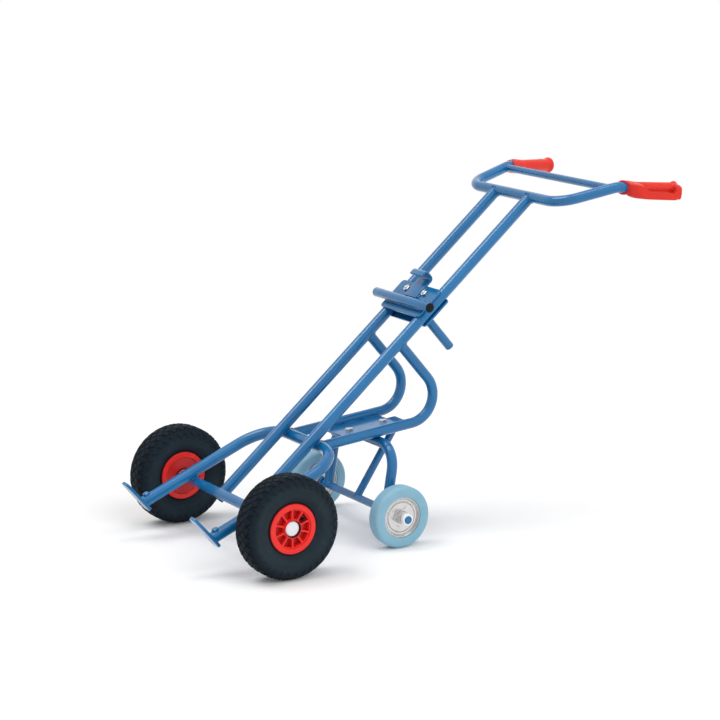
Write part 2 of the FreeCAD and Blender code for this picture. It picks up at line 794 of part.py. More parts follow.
# Main axle: a solid shaft in a tube, with washers and rings that hold the wheels.
tube_start = axle_centre - ACROSS * number("axle_tube_length / 2")
tube_place = axes(tube_start, BACK, ACROSS.cross(BACK))
keep(ring("main_axle_tube", "axle_tube_diameter / 2", "axle_diameter / 2 + axle_seat_gap",
          "axle_tube_length", tube_place), "main_axle_tube")
shaft, groove = "axle_diameter / 2", "axle_diameter / 2 - axle_groove_depth"
groove_end = "axle_groove + axle_ring_thickness + seat_gap"
main_axle = turned("main_axle", mirrored([
    ("0", "axle_half"),
    (shaft, "axle_half"),
    (shaft, groove_end),
    (groove, groove_end),
    (groove, "axle_groove"),
    (shaft, "axle_groove"),
]), axes(axle_centre, BACK, ACROSS.cross(BACK)))
keep(main_axle, "main_axle")

washers = []
rings = []
for side in SIDES:
    seat = wheel_axes(side, "main_track", "axle_height", "0")
    washer_bore = "axle_diameter / 2 + seat_gap"
    inner = shifted(seat, "-main_hub_half - side_play - axle_washer_thickness")
    outer = shifted(seat, "main_hub_half - main_bearing_recess + side_play")
    for name, place in ((f"{side}_inner_washer", inner), (f"{side}_outer_washer", outer)):
        washers.append(ring(name, "axle_washer_diameter / 2", washer_bore, "axle_washer_thickness", place))
    ring_place = shifted(seat, "axle_groove - main_track / 2")
    rings.append(ring(f"{side}_axle_ring", "axle_ring_diameter / 2", f"{groove} + seat_gap",
                      "axle_ring_thickness", ring_place))
keep(group("main_axle_washers", washers), "main_axle_washers")
keep(group("main_axle_rings", rings), "main_axle_rings")


# Main wheels: air tyre with a diamond tread on a two-flanged rim with ten pockets round the hub.
def repeat(body, cut, axis, count):
    """The same cut, spread evenly round the axis."""
    pattern = body.newObject("PartDesign::PolarPattern", f"{cut.Name}s")
    pattern.Originals = [cut]
    pattern.Axis = axis
    pattern.Angle = 360
    pattern.Occurrences = count
    pattern.Refine = False
    body.Tip = pattern
    doc.recompute()


def main_rim(name, place):
    cap_hole = [
        ("rim_bore", "-main_hub_half"),
        ("rim_bore", "cap_seat"),
        ("cap_recess_diameter / 2", "cap_seat"),
        ("cap_recess_diameter / 2", "main_hub_half"),
    ]
    body = turned(name, cap_hole + mirrored([
        ("main_hub_diameter / 2", "main_hub_half"),
        ("main_hub_diameter / 2", "rim_web"),
        ("ring_inside - rim_face_depth / 2", "rim_web"),
        ("ring_inside", "main_hub_half"),
        ("rim_edge - rim_lip", "main_hub_half"),
        ("rim_edge", "main_hub_half - rim_lip"),
        ("rim_edge", "rim_shoulder"),
        ("rim_seat", "rim_shoulder"),
        ("rim_seat", "bead_toe"),
        ("rim_seat - rim_well_depth", "bead_toe - rim_well_depth"),
    ]), place)
    near, far = "(main_hub_diameter / 2 + pocket_rib / 4)", "(pocket_diameter / 2)"
    half_turn = f"tan(180 / {POCKET_COUNT})"
    slope = f"pocket_rib / 2 / cos(180 / {POCKET_COUNT})"
    sketch = sketch_in(body, "XY_Plane", "pocket")
    outline(sketch, [
        (near, f"-({near} * {half_turn} - {slope})"),
        (far, f"-({far} * {half_turn} - {slope})"),
        (far, f"{far} * {half_turn} - {slope}"),
        (near, f"{near} * {half_turn} - {slope}"),
    ])
    bind(sketch, "AttachmentOffset.Base.z", "rim_web")
    doc.recompute()
    whole = body.Shape.Volume
    pocket = body.newObject("PartDesign::Pocket", f"{name}_pocket")
    pocket.Profile = sketch
    bind(pocket, "Length", "pocket_depth")
    doc.recompute()
    if pocket.Shape.Volume >= whole:
        raise RuntimeError(f"{name}: the pocket cuts nothing")
    repeat(body, pocket, (sketch, ["N_Axis"]), POCKET_COUNT)
    return body


def main_tyre(name):
    # the inner wall's turning points, as shares of the cavity's height and half width
    wall_shares = (0.40, 0.80)
    crown_share = 0.55
    cavity = "(tyre_crown - tyre_root)"
    outside = [
        ("main_wheel_diameter / 2", "main_wheel_width / 2"),
        ("tyre_root + tyre_side_radius + tyre_side_thickness", "main_wheel_width / 2"),
        ("tyre_root", "rim_shoulder - seat_gap"),
        ("tyre_bore", "rim_shoulder - seat_gap"),
        ("tyre_bore", "bead_toe"),
        ("tyre_root", "bead_toe"),
        (f"tyre_root + {wall_shares[0]} * {cavity}", "tyre_inside"),
        (f"tyre_root + {wall_shares[1]} * {cavity}", "tyre_inside"),
        ("tyre_crown", f"{crown_share} * tyre_inside"),
    ]
    body = turned(name, mirrored(outside), Placement())
    round_edges(body, "tyre_shoulder_radius", ring_edge(*outside[0]))
    round_edges(body, "tyre_side_radius", ring_edge(*outside[1]))
    section = doc.getObject(f"{name}_section")
    groove_top = "main_wheel_diameter / 2 + cut_overrun"
    for hand, sign in SIDES.items():
        # each groove lies in a plane through a radius, tilted to one hand, and runs out on the shoulders
        sketch = sketch_in(body, "XZ_Plane", f"{hand}_hand")
        outline(sketch, [
            ("groove_floor", "-tread_level_share * groove_reach"),
            ("groove_floor", "tread_level_share * groove_reach"),
            ("groove_end", "groove_reach"),
            (groove_top, "groove_reach"),
            (groove_top, "-groove_reach"),
            ("groove_end", "-groove_reach"),
        ])
        sketch.AttachmentOffset = Placement(Vector(), Rotation(BACK, sign * number("tread_angle")))
        groove = body.newObject("PartDesign::Pocket", f"{name}_{hand}_hand_groove")
        groove.Profile = sketch
        groove.SideType = "Symmetric"
        bind(groove, "Length", "tread_groove_width")
        whole = body.Shape.Volume
        repeat(body, groove, (section, ["V_Axis"]), TREAD_COUNT)
        if body.Shape.Volume >= whole:
            raise RuntimeError(f"{name}: the grooves cut nothing")
    return body


def inner_tube(name, place):
    body = doc.addObject("PartDesign::Body", name)
    section = sketch_in(body, "XZ_Plane", "section")
    for radius in ("inner_tube_radius", "inner_tube_radius - inner_tube_wall"):
        circle(section, "(tyre_crown + tyre_root) / 2", "0", radius)
    turn = body.newObject("PartDesign::Revolution", f"{name}_turn")
    turn.Profile = section
    turn.ReferenceAxis = (section, ["V_Axis"])
    turn.Angle = 360
    body.Placement = place
    doc.recompute()
    return body


mould = main_tyre("main_tyre_mould")
for side in SIDES:
    seat = wheel_axes(side, "main_track", "axle_height", "0")
    tyre = doc.addObject("Part::Feature", f"{side}_main_tyre")
    tyre.Shape = mould.Shape
    tyre.Placement = seat
    keep(tyre, f"{side}_main_tyre")
    keep(inner_tube(f"{side}_inner_tube", seat), f"{side}_inner_tube")
    keep(main_rim(f"{side}_main_rim", seat), f"{side}_main_rim")
    bearings = [
        ring(f"{side}_{place}_bearing", "main_bearing_diameter / 2", "axle_diameter / 2 + running_gap",
             "main_bearing_length", shifted(seat, height))
        for place, height in (
            ("inner", "-main_hub_half"),
            ("outer", "main_hub_half - main_bearing_recess - main_bearing_length"),
        )
    ]
    keep(group(f"{side}_main_bearings", bearings), f"{side}_main_bearings")
    cap = turned(f"{side}_hub_cap", [
        ("0", "cap_seat - cap_spigot_length"),
        ("rim_bore - seat_gap", "cap_seat - cap_spigot_length"),
        ("rim_bore - seat_gap", "cap_seat"),
        ("cap_diameter / 2", "cap_seat"),
        ("cap_diameter / 2", "cap_seat + cap_thickness / 2"),
        ("cap_diameter / 2 - cap_thickness / 2", "cap_seat + cap_thickness"),
        ("0", "cap_seat + cap_thickness"),
    ], seat)
    keep(cap, f"{side}_hub_cap")
    valve_reach = number("main_hub_diameter / 4 + pocket_diameter / 4")
    turned_seat = shifted(seat, "pocket_floor").multiply(Placement(Vector(), Rotation(UP, 360 / POCKET_COUNT)))
    valve_place = turned_seat.multiply(Placement(BACK * valve_reach, Rotation()))
    keep(rod(f"{side}_valve", "valve_diameter / 2", "valve_length", valve_place), f"{side}_valve")


# Rear legs: from the rails straight back, then down to the top bar of the base hoop.
for side, sign in SIDES.items():
    name = f"{side}_rear_leg"
    across = f"{sign} * rail_spacing / 2"
    leg = bent_tube(f"{name}_tube", [
        ("0", "0"),
        ("0", "leg_depth"),
        ("-leg_reach", "top_bar_depth"),
    ], "leg_bend_radius", "leg_diameter", "leg_wall",
        axes(on_rails("leg_station", "0", across), ALONG, REAR))
    rail_cope = middle_rod(f"{name}_rail_cope", "rail_diameter / 2", "2 * leg_station",
                           on_rails("leg_station", "0", across), ALONG, REAR)
    bar_cope = middle_rod(f"{name}_bar_cope", "hoop_diameter / 2", "hoop_spacing",
                          on_rails("hoop_station", "top_bar_depth", "0"))
    keep(carve(name, leg, rail_cope, bar_cope), name)


# Mounting plate between the rear legs and the support's top plate bolted under it.
hole = "plate_bolt_diameter / 2 + bolt_hole_gap"
bolt_runs = ["plate_start + plate_bolt_inset", "plate_start + plate_bolt_inset + plate_bolt_pitch"]


def leg_plate(name, start, length, width, thickness, drop):
    """A plate parallel to the rear legs' lower tubes, its top a drop below their axes."""
    corner = under_legs(start, f"{drop} + {thickness}", "0")
    holes = [(f"{run} - ({start})", "0", hole) for run in bolt_runs]
    return plate(name, [
        ("0", f"-{width} / 2"),
        (length, f"-{width} / 2"),
        (length, f"{width} / 2"),
        ("0", f"{width} / 2"),
    ], thickness, axes(corner, LEG_RUN, ACROSS), holes)


mount_blank = leg_plate("mounting_plate_blank", "plate_start", "plate_length", "rail_spacing",
                        "plate_thickness", "plate_drop")
leg_copes = [
    middle_rod(f"mounting_plate_{side}_cope", "leg_diameter / 2", "plate_length + 2 * cut_overrun",
               under_legs("plate_start + plate_length / 2", "0", f"{sign} * rail_spacing / 2"),
               LEG_RUN, ACROSS)
    for side, sign in SIDES.items()
]
keep(carve("mounting_plate", mount_blank, *leg_copes), "mounting_plate")
keep(leg_plate("support_top_plate", "support_plate_start", "support_plate_length", "support_plate_width",
               "support_plate_thickness", "plate_drop + plate_thickness"), "support_top_plate")

bolt_length = "plate_thickness + support_plate_thickness + plate_bolt_head + bolt_end_length"
plate_bolts = []
plate_nuts = []
for count, run in enumerate(bolt_runs, start=1):
    plate_bolts.append(hex_bolt(f"plate_bolt{count}", "plate_bolt_diameter", "plate_bolt_across",
                                "plate_bolt_head", bolt_length, under_legs(run, "plate_drop", "0"),
                                -LEG_UP, LEG_RUN))
    plate_nuts.append(hex_nut(f"plate_nut{count}", "plate_bolt_diameter", "plate_bolt_across",
                              "plate_bolt_head", under_legs(run, "stack_drop", "0"), -LEG_UP, LEG_RUN))
keep(group("plate_bolts", plate_bolts), "plate_bolts")
keep(group("plate_nuts", plate_nuts), "plate_nuts")


# Support hoop, brace and axle.
support_centre = on_axle("support_wheel_diameter / 2", "wheelbase", "0")
leg_lean = radians(number("support_leg_lean"))
support_up = Vector(sin(leg_lean), 0, cos(leg_lean))
support_foot = support_centre - ACROSS * number("support_leg_spacing / 2")
support_tube = bent_tube("support_hoop_tube", [
    ("0", "0"),
    ("0", "support_height"),
    ("support_leg_spacing", "support_height"),
    ("support_leg_spacing", "0"),
], "support_bend_radius", "support_tube_diameter", "support_tube_wall", axes(support_foot, ACROSS, support_up))
axle_cope = middle_rod("support_hoop_cope", "support_axle_diameter / 2", "2 * support_axle_half", support_centre)
keep(carve("support_hoop", support_tube, axle_cope), "support_hoop")

tip = radians(number("brace_lean"))
brace_up = Vector(sin(tip), 0, cos(tip))
brace_tube = rod("support_brace_tube", "brace_diameter / 2", "brace_length", axes(
    support_centre, ACROSS, brace_up.cross(ACROSS)))
brace_bore = rod("support_brace_bore", "brace_diameter / 2 - brace_wall", "brace_length", axes(
    support_centre, ACROSS, brace_up.cross(ACROSS)))
brace_cope = middle_rod("support_brace_cope", "support_axle_diameter / 2", "support_track", support_centre)
brace_trim = slab("support_brace_trim", "2 * support_plate_length", "support_plate_width", "4 * cut_overrun",
                  axes(under_legs("support_plate_start + support_plate_length", "stack_drop", "0"),
                       LEG_RUN, ACROSS))
keep(carve("support_brace", brace_tube, brace_bore, brace_cope, brace_trim), "support_brace")

shaft = "support_axle_diameter / 2"
support_axle = turned("support_axle", mirrored([
    ("0", "support_axle_half"),
    (shaft, "support_axle_half"),
    (shaft, "collar_end"),
    ("collar_diameter / 2", "collar_end"),
    ("collar_diameter / 2", "collar_end - collar_length"),
    (shaft, "collar_end - collar_length"),
]), axes(support_centre, BACK, ACROSS.cross(BACK)))
keep(support_axle, "support_axle")

end_rings = []
support_washers = []
for side in SIDES:
    seat = wheel_axes(side, "support_track", "support_wheel_diameter / 2", "wheelbase")
    axle_fit = f"{shaft} + seat_gap"
    for name, height in (("inner", "-support_hub_half - side_play - support_washer_thickness"),
                         ("outer", "support_hub_half + side_play")):
        support_washers.append(ring(f"{side}_{name}_support_washer", "support_washer_diameter / 2",
                                    axle_fit, "support_washer_thickness", shifted(seat, height)))
    ring_start = "support_hub_half + support_washer_thickness + 2 * side_play"
    end_rings.append(ring(f"{side}_axle_end_ring", "axle_end_ring_diameter / 2", axle_fit,
                          "axle_end_ring_length", shifted(seat, ring_start)))
keep(group("support_axle_rings", end_rings), "support_axle_rings")
keep(group("support_axle_washers", support_washers), "support_axle_washers")


# Support wheels: solid tyre on two pressed discs, back to back, on a hub tube.
# The dished part of a disc ends at these shares of its radius.
DISH_SHARES = (0.60, 0.80)


def wheel_disc(name, place, way):
    """One pressed disc; way is 1 for the outer and -1 for the inner."""
    knee, foot = (f"{share} * disc_edge" for share in DISH_SHARES)
    section = [
        ("support_hub_diameter / 2", "disc_dish"),
        (knee, "disc_dish"),
        (foot, "disc_thickness"),
        ("disc_edge - disc_thickness", "disc_thickness"),
        ("disc_edge - disc_thickness", "disc_flange_width"),
        ("disc_edge", "disc_flange_width"),
        ("disc_edge", "0"),
        (foot, "0"),
        (knee, "disc_dish - disc_thickness"),
        ("support_hub_diameter / 2", "disc_dish - disc_thickness"),
    ]
    if way < 0:
        section = [(radius, height if height == "0" else f"-({height})") for radius, height in section]
    return turned(name, section, place)


for side in SIDES:
    seat = wheel_axes(side, "support_track", "support_wheel_diameter / 2", "wheelbase")
    tyre_edge = ("support_wheel_diameter / 2", "support_wheel_width / 2")
    tyre = turned(f"{side}_support_tyre", mirrored([("disc_edge", "support_wheel_width / 2"), tyre_edge][::-1]),
                  seat)
    round_edges(tyre, "support_tyre_radius", ring_edge(*tyre_edge))
    keep(tyre, f"{side}_support_tyre")
    for place, way in (("outer", 1), ("inner", -1)):
        keep(wheel_disc(f"{side}_{place}_disc", seat, way), f"{side}_{place}_disc")
    hub_start = shifted(seat, "-support_hub_half")
    keep(ring(f"{side}_support_hub", "support_hub_diameter / 2", "support_bearing_diameter / 2",
              "support_hub_length", hub_start), f"{side}_support_hub")
    keep(ring(f"{side}_support_bearing", "support_bearing_diameter / 2",
              "support_axle_diameter / 2 + running_gap", "support_hub_length", hub_start),
         f"{side}_support_bearing")


# Sliding clamp: two plates that hold the rails between them, with a rest tube and a rim hook
# in front and a hand lever behind.
clamp_hole = "clamp_bolt_diameter / 2 + bolt_hole_gap"
clamp_holes = [(f"{sign} * clamp_bolt_spacing / 2", "clamp_bolt_rise", clamp_hole) for sign in SIDES.values()]
for name, depth in (("clamp_front_plate", "-clamp_outside"), ("clamp_rear_plate", "clamp_inside")):
    clamp_plate = plate(name, [
        ("-clamp_plate_width / 2", "-clamp_plate_length / 2"),
        ("clamp_plate_width / 2", "-clamp_plate_length / 2"),
        ("clamp_plate_width / 2", "clamp_plate_length / 2"),
        ("-clamp_plate_width / 2", "clamp_plate_length / 2"),
    ], "clamp_plate_thickness", axes(on_rails("clamp_station", depth, "0"), ACROSS, ALONG), clamp_holes)
    round_edges(clamp_plate, "clamp_corner_radius", upright)
    keep(clamp_plate, name)

bolt_station = "clamp_station + clamp_bolt_rise"
clamp_stack = "2 * clamp_outside"
clamp_bolts = []
clamp_nuts = []
spacers = []
for side, sign in SIDES.items():
    across = f"{sign} * clamp_bolt_spacing / 2"
    clamp_bolts.append(hex_bolt(f"{side}_clamp_bolt", "clamp_bolt_diameter", "clamp_bolt_across",
                                "clamp_bolt_head", f"{clamp_stack} + clamp_bolt_head + bolt_end_length",
                                on_rails(bolt_station, "clamp_outside", across), -REAR, ALONG))
    clamp_nuts.append(hex_nut(f"{side}_clamp_nut", "clamp_bolt_diameter", "clamp_bolt_across",
                              "clamp_bolt_head", on_rails(bolt_station, "-clamp_outside", across),
                              -REAR, ALONG))
    spacers.append(ring(f"{side}_clamp_spacer", "spacer_diameter / 2", clamp_hole, "2 * clamp_inside",
                        axes(on_rails(bolt_station, "-clamp_inside", across), ACROSS, ALONG)))
keep(group("clamp_bolts", clamp_bolts), "clamp_bolts")
keep(group("clamp_nuts", clamp_nuts), "clamp_nuts")
keep(group("clamp_spacers", spacers), "clamp_spacers")

rest_centre = on_rails("clamp_station - rest_tube_drop", "-rest_tube_depth", "0")
rest_start = rest_centre - ACROSS * number("rest_tube_length / 2")
keep(ring("clamp_rest_tube", "rest_tube_diameter / 2", "rest_tube_diameter / 2 - rest_tube_wall",
          "rest_tube_length", axes(rest_start, BACK, ACROSS.cross(BACK))), "clamp_rest_tube")
plug_bore = "rest_tube_diameter / 2 - rest_tube_wall - seat_gap"
plugs = []
for side, sign in SIDES.items():
    outward = ACROSS * sign
    plugs.append(turned(f"{side}_rest_plug", [
        ("0", "-plug_length"),
        (plug_bore, "-plug_length"),
        (plug_bore, "0"),
        ("rest_tube_diameter / 2", "0"),
        ("rest_tube_diameter / 2", "plug_rim / 2"),
        (plug_bore, "plug_rim"),
        ("0", "plug_rim"),
    ], axes(rest_centre + outward * number("rest_tube_length / 2"), UP.cross(outward), UP)))
keep(group("clamp_rest_plugs", plugs), "clamp_rest_plugs")

lever_place = axes(on_rails("clamp_station", "clamp_outside", "0"), ACROSS, ALONG)
keep(turned("clamp_lever", [
    ("0", "0"),
    ("lever_diameter / 2", "0"),
    ("lever_diameter / 2", "lever_length - lever_chamfer"),
    ("lever_diameter / 2 - lever_chamfer", "lever_length"),
    ("0", "lever_length"),
], lever_place), "clamp_lever")

hook_foot = on_rails("clamp_station + hook_foot_rise", "-clamp_outside", "0")
keep(plate("rim_hook", [
    ("0", "0"),
    ("0", "hook_height"),
    ("-hook_reach", "hook_height"),
    ("-hook_reach", "hook_height - hook_lip"),
    ("hook_thickness - hook_reach", "hook_height - hook_lip"),
    ("hook_thickness - hook_reach", "hook_height - hook_thickness"),
    ("-hook_thickness", "hook_height - hook_thickness"),
    ("-hook_thickness", "0"),
], "hook_width", axes(hook_foot, REAR, ALONG), middle=True), "rim_hook")

doc.recompute()

# The origin goes under the middle of the whole trolley, on the floor.
bounds = FreeCAD.BoundBox()
for piece in nodes:
    bounds.add(piece.Shape.optimalBoundingBox(True, False))
row_shift = Vector(-bounds.Center.x, -bounds.Center.y, -bounds.ZMin)
for piece in nodes:
    piece.Placement = Placement(row_shift, Rotation()).multiply(piece.Placement)
doc.recompute()

for thing in doc.Objects:
    if "Invalid" in thing.State or "Error" in thing.State:
        raise RuntimeError(f"{thing.Name} failed: {thing.State}")
for piece in nodes:
    if piece.Shape.isNull() or not piece.Shape.isValid():
        raise RuntimeError(f"{piece.Label} has no valid shape")

os.makedirs("parts", exist_ok=True)
for piece in nodes:
    piece.Shape.exportStep(f"parts/{piece.Label}.step")
print(f"{len(nodes)} nodes, shifted by {row_shift.x:.4f} {row_shift.y:.4f} {row_shift.z:.4f}")
print(f"size {bounds.XLength:.2f} {bounds.YLength:.2f} {bounds.ZLength:.2f}")
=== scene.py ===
# %% [markdown]
# # A drum trolley, dressed
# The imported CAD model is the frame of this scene: it says where every tube, wheel and plate sits.
# This lesson gives each piece a smooth surface and a finish, and leaves it where the CAD has it.
# Lengths are written in millimetres, as on a workshop drawing, and become metres in the mesh.

# %% Load the frame
import math
import bmesh
import bpy
import numpy as np
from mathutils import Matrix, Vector


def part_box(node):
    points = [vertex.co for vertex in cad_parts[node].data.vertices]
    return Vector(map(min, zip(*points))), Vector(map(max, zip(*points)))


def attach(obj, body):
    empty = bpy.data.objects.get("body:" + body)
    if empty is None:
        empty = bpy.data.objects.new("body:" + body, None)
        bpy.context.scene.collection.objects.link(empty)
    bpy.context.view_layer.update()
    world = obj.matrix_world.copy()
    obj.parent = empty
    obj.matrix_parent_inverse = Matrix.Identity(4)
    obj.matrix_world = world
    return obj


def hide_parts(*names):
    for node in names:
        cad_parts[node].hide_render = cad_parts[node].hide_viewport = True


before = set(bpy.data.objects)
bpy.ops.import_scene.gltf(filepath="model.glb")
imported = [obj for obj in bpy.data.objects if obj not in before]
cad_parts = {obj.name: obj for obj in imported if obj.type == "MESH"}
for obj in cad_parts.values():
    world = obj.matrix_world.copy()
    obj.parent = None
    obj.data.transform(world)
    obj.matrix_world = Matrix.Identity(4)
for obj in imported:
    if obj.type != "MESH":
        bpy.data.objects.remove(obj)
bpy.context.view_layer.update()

# %% [markdown]
# ## Places on the trolley
# Nearly everything on the trolley is welded to two leaning rails or to the legs behind them, so points
# are easiest to give in those directions. A station is a distance up the rails from the main axle, a
# depth is square to them towards the back. The rear legs' lower tubes have the same kind of address.

# %% Directions and places
MM = 0.001
UP = np.array([0.0, 0.0, 1.0])
ACROSS = np.array([0.0, 1.0, 0.0])
BACK = np.array([1.0, 0.0, 0.0])
SIDES = {"left": -1, "right": 1}
AXLE = np.mean(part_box("main_axle"), axis=0)


def leaning(degrees):
    """A direction in the trolley's side view: cosine backwards, sine upwards."""
    angle = math.radians(degrees)
    return math.cos(angle) * BACK + math.sin(angle) * UP


RAIL_TILT = 40.8
ALONG, REAR = leaning(RAIL_TILT), leaning(RAIL_TILT - 90)
LEG_TILT = 5.7
LEG_RUN, LEG_UP = leaning(LEG_TILT), leaning(LEG_TILT + 90)
RAIL_SETBACK = 18.5
RAIL_SIDE = 77.3


def on_rails(station, depth=0.0, across=0.0):
    """Axle + station along the rails + depth behind them + a place across."""
    return AXLE + MM * (station * ALONG + (RAIL_SETBACK + depth) * REAR + across * ACROSS)


BAR_STATION, BAR_DEPTH = 245.0, 30.0


def beside(middle, reach):
    """The same place, moved across the trolley."""
    return middle + MM * reach * ACROSS


def under_legs(run, drop=0.0, across=0.0):
    """Hoop's top bar + run along the rear legs' lower tubes - drop below them + a place across."""
    return on_rails(BAR_STATION, BAR_DEPTH) + MM * (run * LEG_RUN - drop * LEG_UP + across * ACROSS)


print("main axle at", AXLE.round(4))

# %% [markdown]
# ## From a grid of numbers to a mesh
# Every new piece here is a surface over two parameters: a grid of points, row by row. Neighbours in the
# grid make four-cornered faces. Where a surface closes on itself, its first and last points lie in the
# same place, and merging them closes the seam; a pole is a whole row in one place. That keeps each
# shape down to its formula.

# %% Grids become pieces
SHARP_EDGE, MERGE_WITHIN = math.radians(32), 2e-6
triangles = {}


def unit(vectors):
    return vectors / np.linalg.norm(vectors, axis=-1, keepdims=True)


def grid_faces(rows, columns, first):
    """Corner numbers of the faces of a grid whose points are numbered row by row from first."""
    corner = first + np.arange(rows * columns).reshape(rows, columns)
    faces = np.stack([corner[:-1, :-1], corner[:-1, 1:], corner[1:, 1:], corner[1:, :-1]], axis=-1)
    return faces.reshape(-1, 4)


def closed_shell(mesh):
    """Merges the points that coincide and turns every face outwards."""
    shell = bmesh.new()
    shell.from_mesh(mesh)
    bmesh.ops.remove_doubles(shell, verts=shell.verts, dist=MERGE_WITHIN)
    bmesh.ops.recalc_face_normals(shell, faces=shell.faces)
    shell.to_mesh(mesh)
    shell.free()


def piece(name, grids, finish, body, *nodes):
    """One object from grids of points in metres, riding on a body and standing for CAD nodes."""
    points = np.concatenate([grid.reshape(-1, 3) for grid in grids])
    firsts = np.cumsum([0] + [grid.shape[0] * grid.shape[1] for grid in grids])
    faces = np.concatenate([grid_faces(*grid.shape[:2], first) for grid, first in zip(grids, firsts)])
    mesh = bpy.data.meshes.new(name)
    mesh.vertices.add(len(points))
    mesh.vertices.foreach_set("co", points.astype(np.float32).ravel())
    mesh.loops.add(faces.size)
    mesh.loops.foreach_set("vertex_index", faces.ravel().astype(np.int32))
    mesh.polygons.add(len(faces))
    mesh.polygons.foreach_set("loop_start", np.arange(0, faces.size, 4, dtype=np.int32))
    mesh.update(calc_edges=True)
    closed_shell(mesh)
    mesh.shade_smooth()
    mesh.set_sharp_from_angle(angle=SHARP_EDGE)
    mesh.materials.append(finish.material)
    made = bpy.data.objects.new(name, mesh)
    bpy.context.scene.collection.objects.link(made)
    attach(made, body)
    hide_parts(*nodes)
    triangles[name] = len(mesh.loops) - 2 * len(mesh.polygons)


print("faces meet in a sharp edge past", round(math.degrees(SHARP_EDGE)), "degrees")

# %% [markdown]
# ## Three ways to fill a grid
# Tube benders, lathes and presses made this trolley, and three functions stand for them. A bent line is
# a path of straight runs with an arc at each corner. A swept surface carries a section along such a
# path. A turned surface spins a profile of radius and height about an axis. Profiles are bent lines too.

# %% Bent lines, swept and turned surfaces
def bent_line(corners, radii, steps=10):
    """Straight runs with tangent arcs: from centre, the arc swings the first radius into the second."""
    corners = np.asarray(corners, float)
    corner = corners[1:-1]
    size = np.broadcast_to(np.asarray(radii, float), len(corner))[:, None]
    inward, onward = unit(corners[:-2] - corner), unit(corners[2:] - corner)
    half = np.arccos(np.clip((inward * onward).sum(-1, keepdims=True), -1, 1)) / 2
    centre = corner + unit(inward + onward) * size / np.sin(half)
    first = corner + inward * size / np.tan(half) - centre
    last = corner + onward * size / np.tan(half) - centre
    swing = (math.pi - 2 * half)[:, None]
    share = np.linspace(0, 1, steps + 1)[:, None]
    arcs = np.sin((1 - share) * swing) * first[:, None] + np.sin(share * swing) * last[:, None]
    arcs = centre[:, None] + arcs / np.sin(swing)
    return np.concatenate([corners[:1], arcs.reshape(-1, corners.shape[1]), corners[-1:]])


def rod(radius, low, high, edges, steps):
    """Profile of a round bar between two heights, with its edges broken."""
    return bent_line([(0, low), (radius, low), (radius, high), (0, high)], edges, steps)


def mirrored(profile):
    """A profile down to height 0, and its mirror image below."""
    return np.concatenate([profile, profile[-2::-1] * [1, -1]])


def soft_step(value, low, high):
    share = np.clip((value - low) / (high - low), 0, 1)
    return share * share * (3 - 2 * share)


def run_along(line):
    """The distance along a line at each of its points."""
    return np.concatenate([[0], np.cumsum(np.linalg.norm(np.diff(line, axis=0), axis=1))])


def even_steps(line, count):
    """The same line with points at equal distances along it."""
    run = run_along(line)
    even = np.linspace(0, run[-1], count)
    return np.stack([np.interp(even, run, line[:, i]) for i in range(line.shape[1])], axis=-1)


def ring_angles(columns):
    return np.linspace(0, 2 * math.pi, columns + 1)


def around(turn, axis, side):
    """Directions round an axis: cosine of the turn times side + sine times the third direction."""
    return np.cos(turn)[:, None] * side + np.sin(turn)[:, None] * np.cross(axis, side)


def circle_section(radius, columns=28):
    """A closed circle: cosine and sine of the angle times the radius, in metres."""
    turn = ring_angles(columns)
    return MM * radius * np.stack([np.cos(turn), np.sin(turn)], axis=-1)


def swept(path, section, side, ring=False):
    """Path point + section x times out + section y times up; out is side made square to the path."""
    if ring:
        way = np.roll(path[:-1], -1, axis=0) - np.roll(path[:-1], 1, axis=0)
        way = np.concatenate([way, way[:1]])
    else:
        way = np.gradient(path, axis=0)
    way = unit(way)
    out = unit(side - (way * side).sum(-1, keepdims=True) * way)
    up = np.cross(way, out)
    return path[:, None] + section[..., :1] * out[:, None] + section[..., 1:] * up[:, None]


def capped(grid):
    """Closes both ends of a grid with a row in one place, the middle of the end."""
    ends = [np.broadcast_to(grid[i, :-1].mean(0), grid[i].shape)[None] for i in (0, -1)]
    return np.concatenate([ends[0], grid, ends[1]])


def turned(profile, centre, axis, side, columns=48, start=0.0):
    """Centre + height along the axis + radius times the direction round it."""
    profile = MM * np.asarray(profile, float)
    spokes = around(ring_angles(columns) + start, axis, side)
    return centre + profile[:, None, 1:] * axis + profile[:, None, :1] * spokes


def tube(corners, radii, radius, side, columns=28):
    """A circle swept along a bent line; capped() closes its ends."""
    path = bent_line(np.asarray(corners) / MM, radii, 14) * MM
    return swept(path, circle_section(radius, columns), side)


print("a bend in a square corner has", len(bent_line([(0, 0), (1, 0), (1, 1)], 0.5)) - 2, "points")

# %% [markdown]
# ## Finishes as formulas
# A finish is a small network of shader nodes. Wiring nodes by hand hides the idea, so a wrapper lets a
# value from a node be added and multiplied like a number, and each operation adds its Math node.
# All patterns read Object coordinates: the pieces sit at the origin, so one metre of pattern is one
# metre of trolley, and grain keeps its real size on every piece.

# %% A wrapper for shader nodes
class Value:
    """A node's output that takes part in sums, differences and products."""

    def __init__(self, network, socket):
        self.network, self.socket = network, socket

    def math(self, operation, first, second):
        return self.network.node("ShaderNodeMath", {"operation": operation}, {0: first, 1: second})

    def __add__(self, other):
        return self.math("ADD", self, other)

    def __radd__(self, other):
        return self.math("ADD", other, self)

    def __sub__(self, other):
        return self.math("SUBTRACT", self, other)

    def __rsub__(self, other):
        return self.math("SUBTRACT", other, self)

    def __mul__(self, other):
        return self.math("MULTIPLY", self, other)


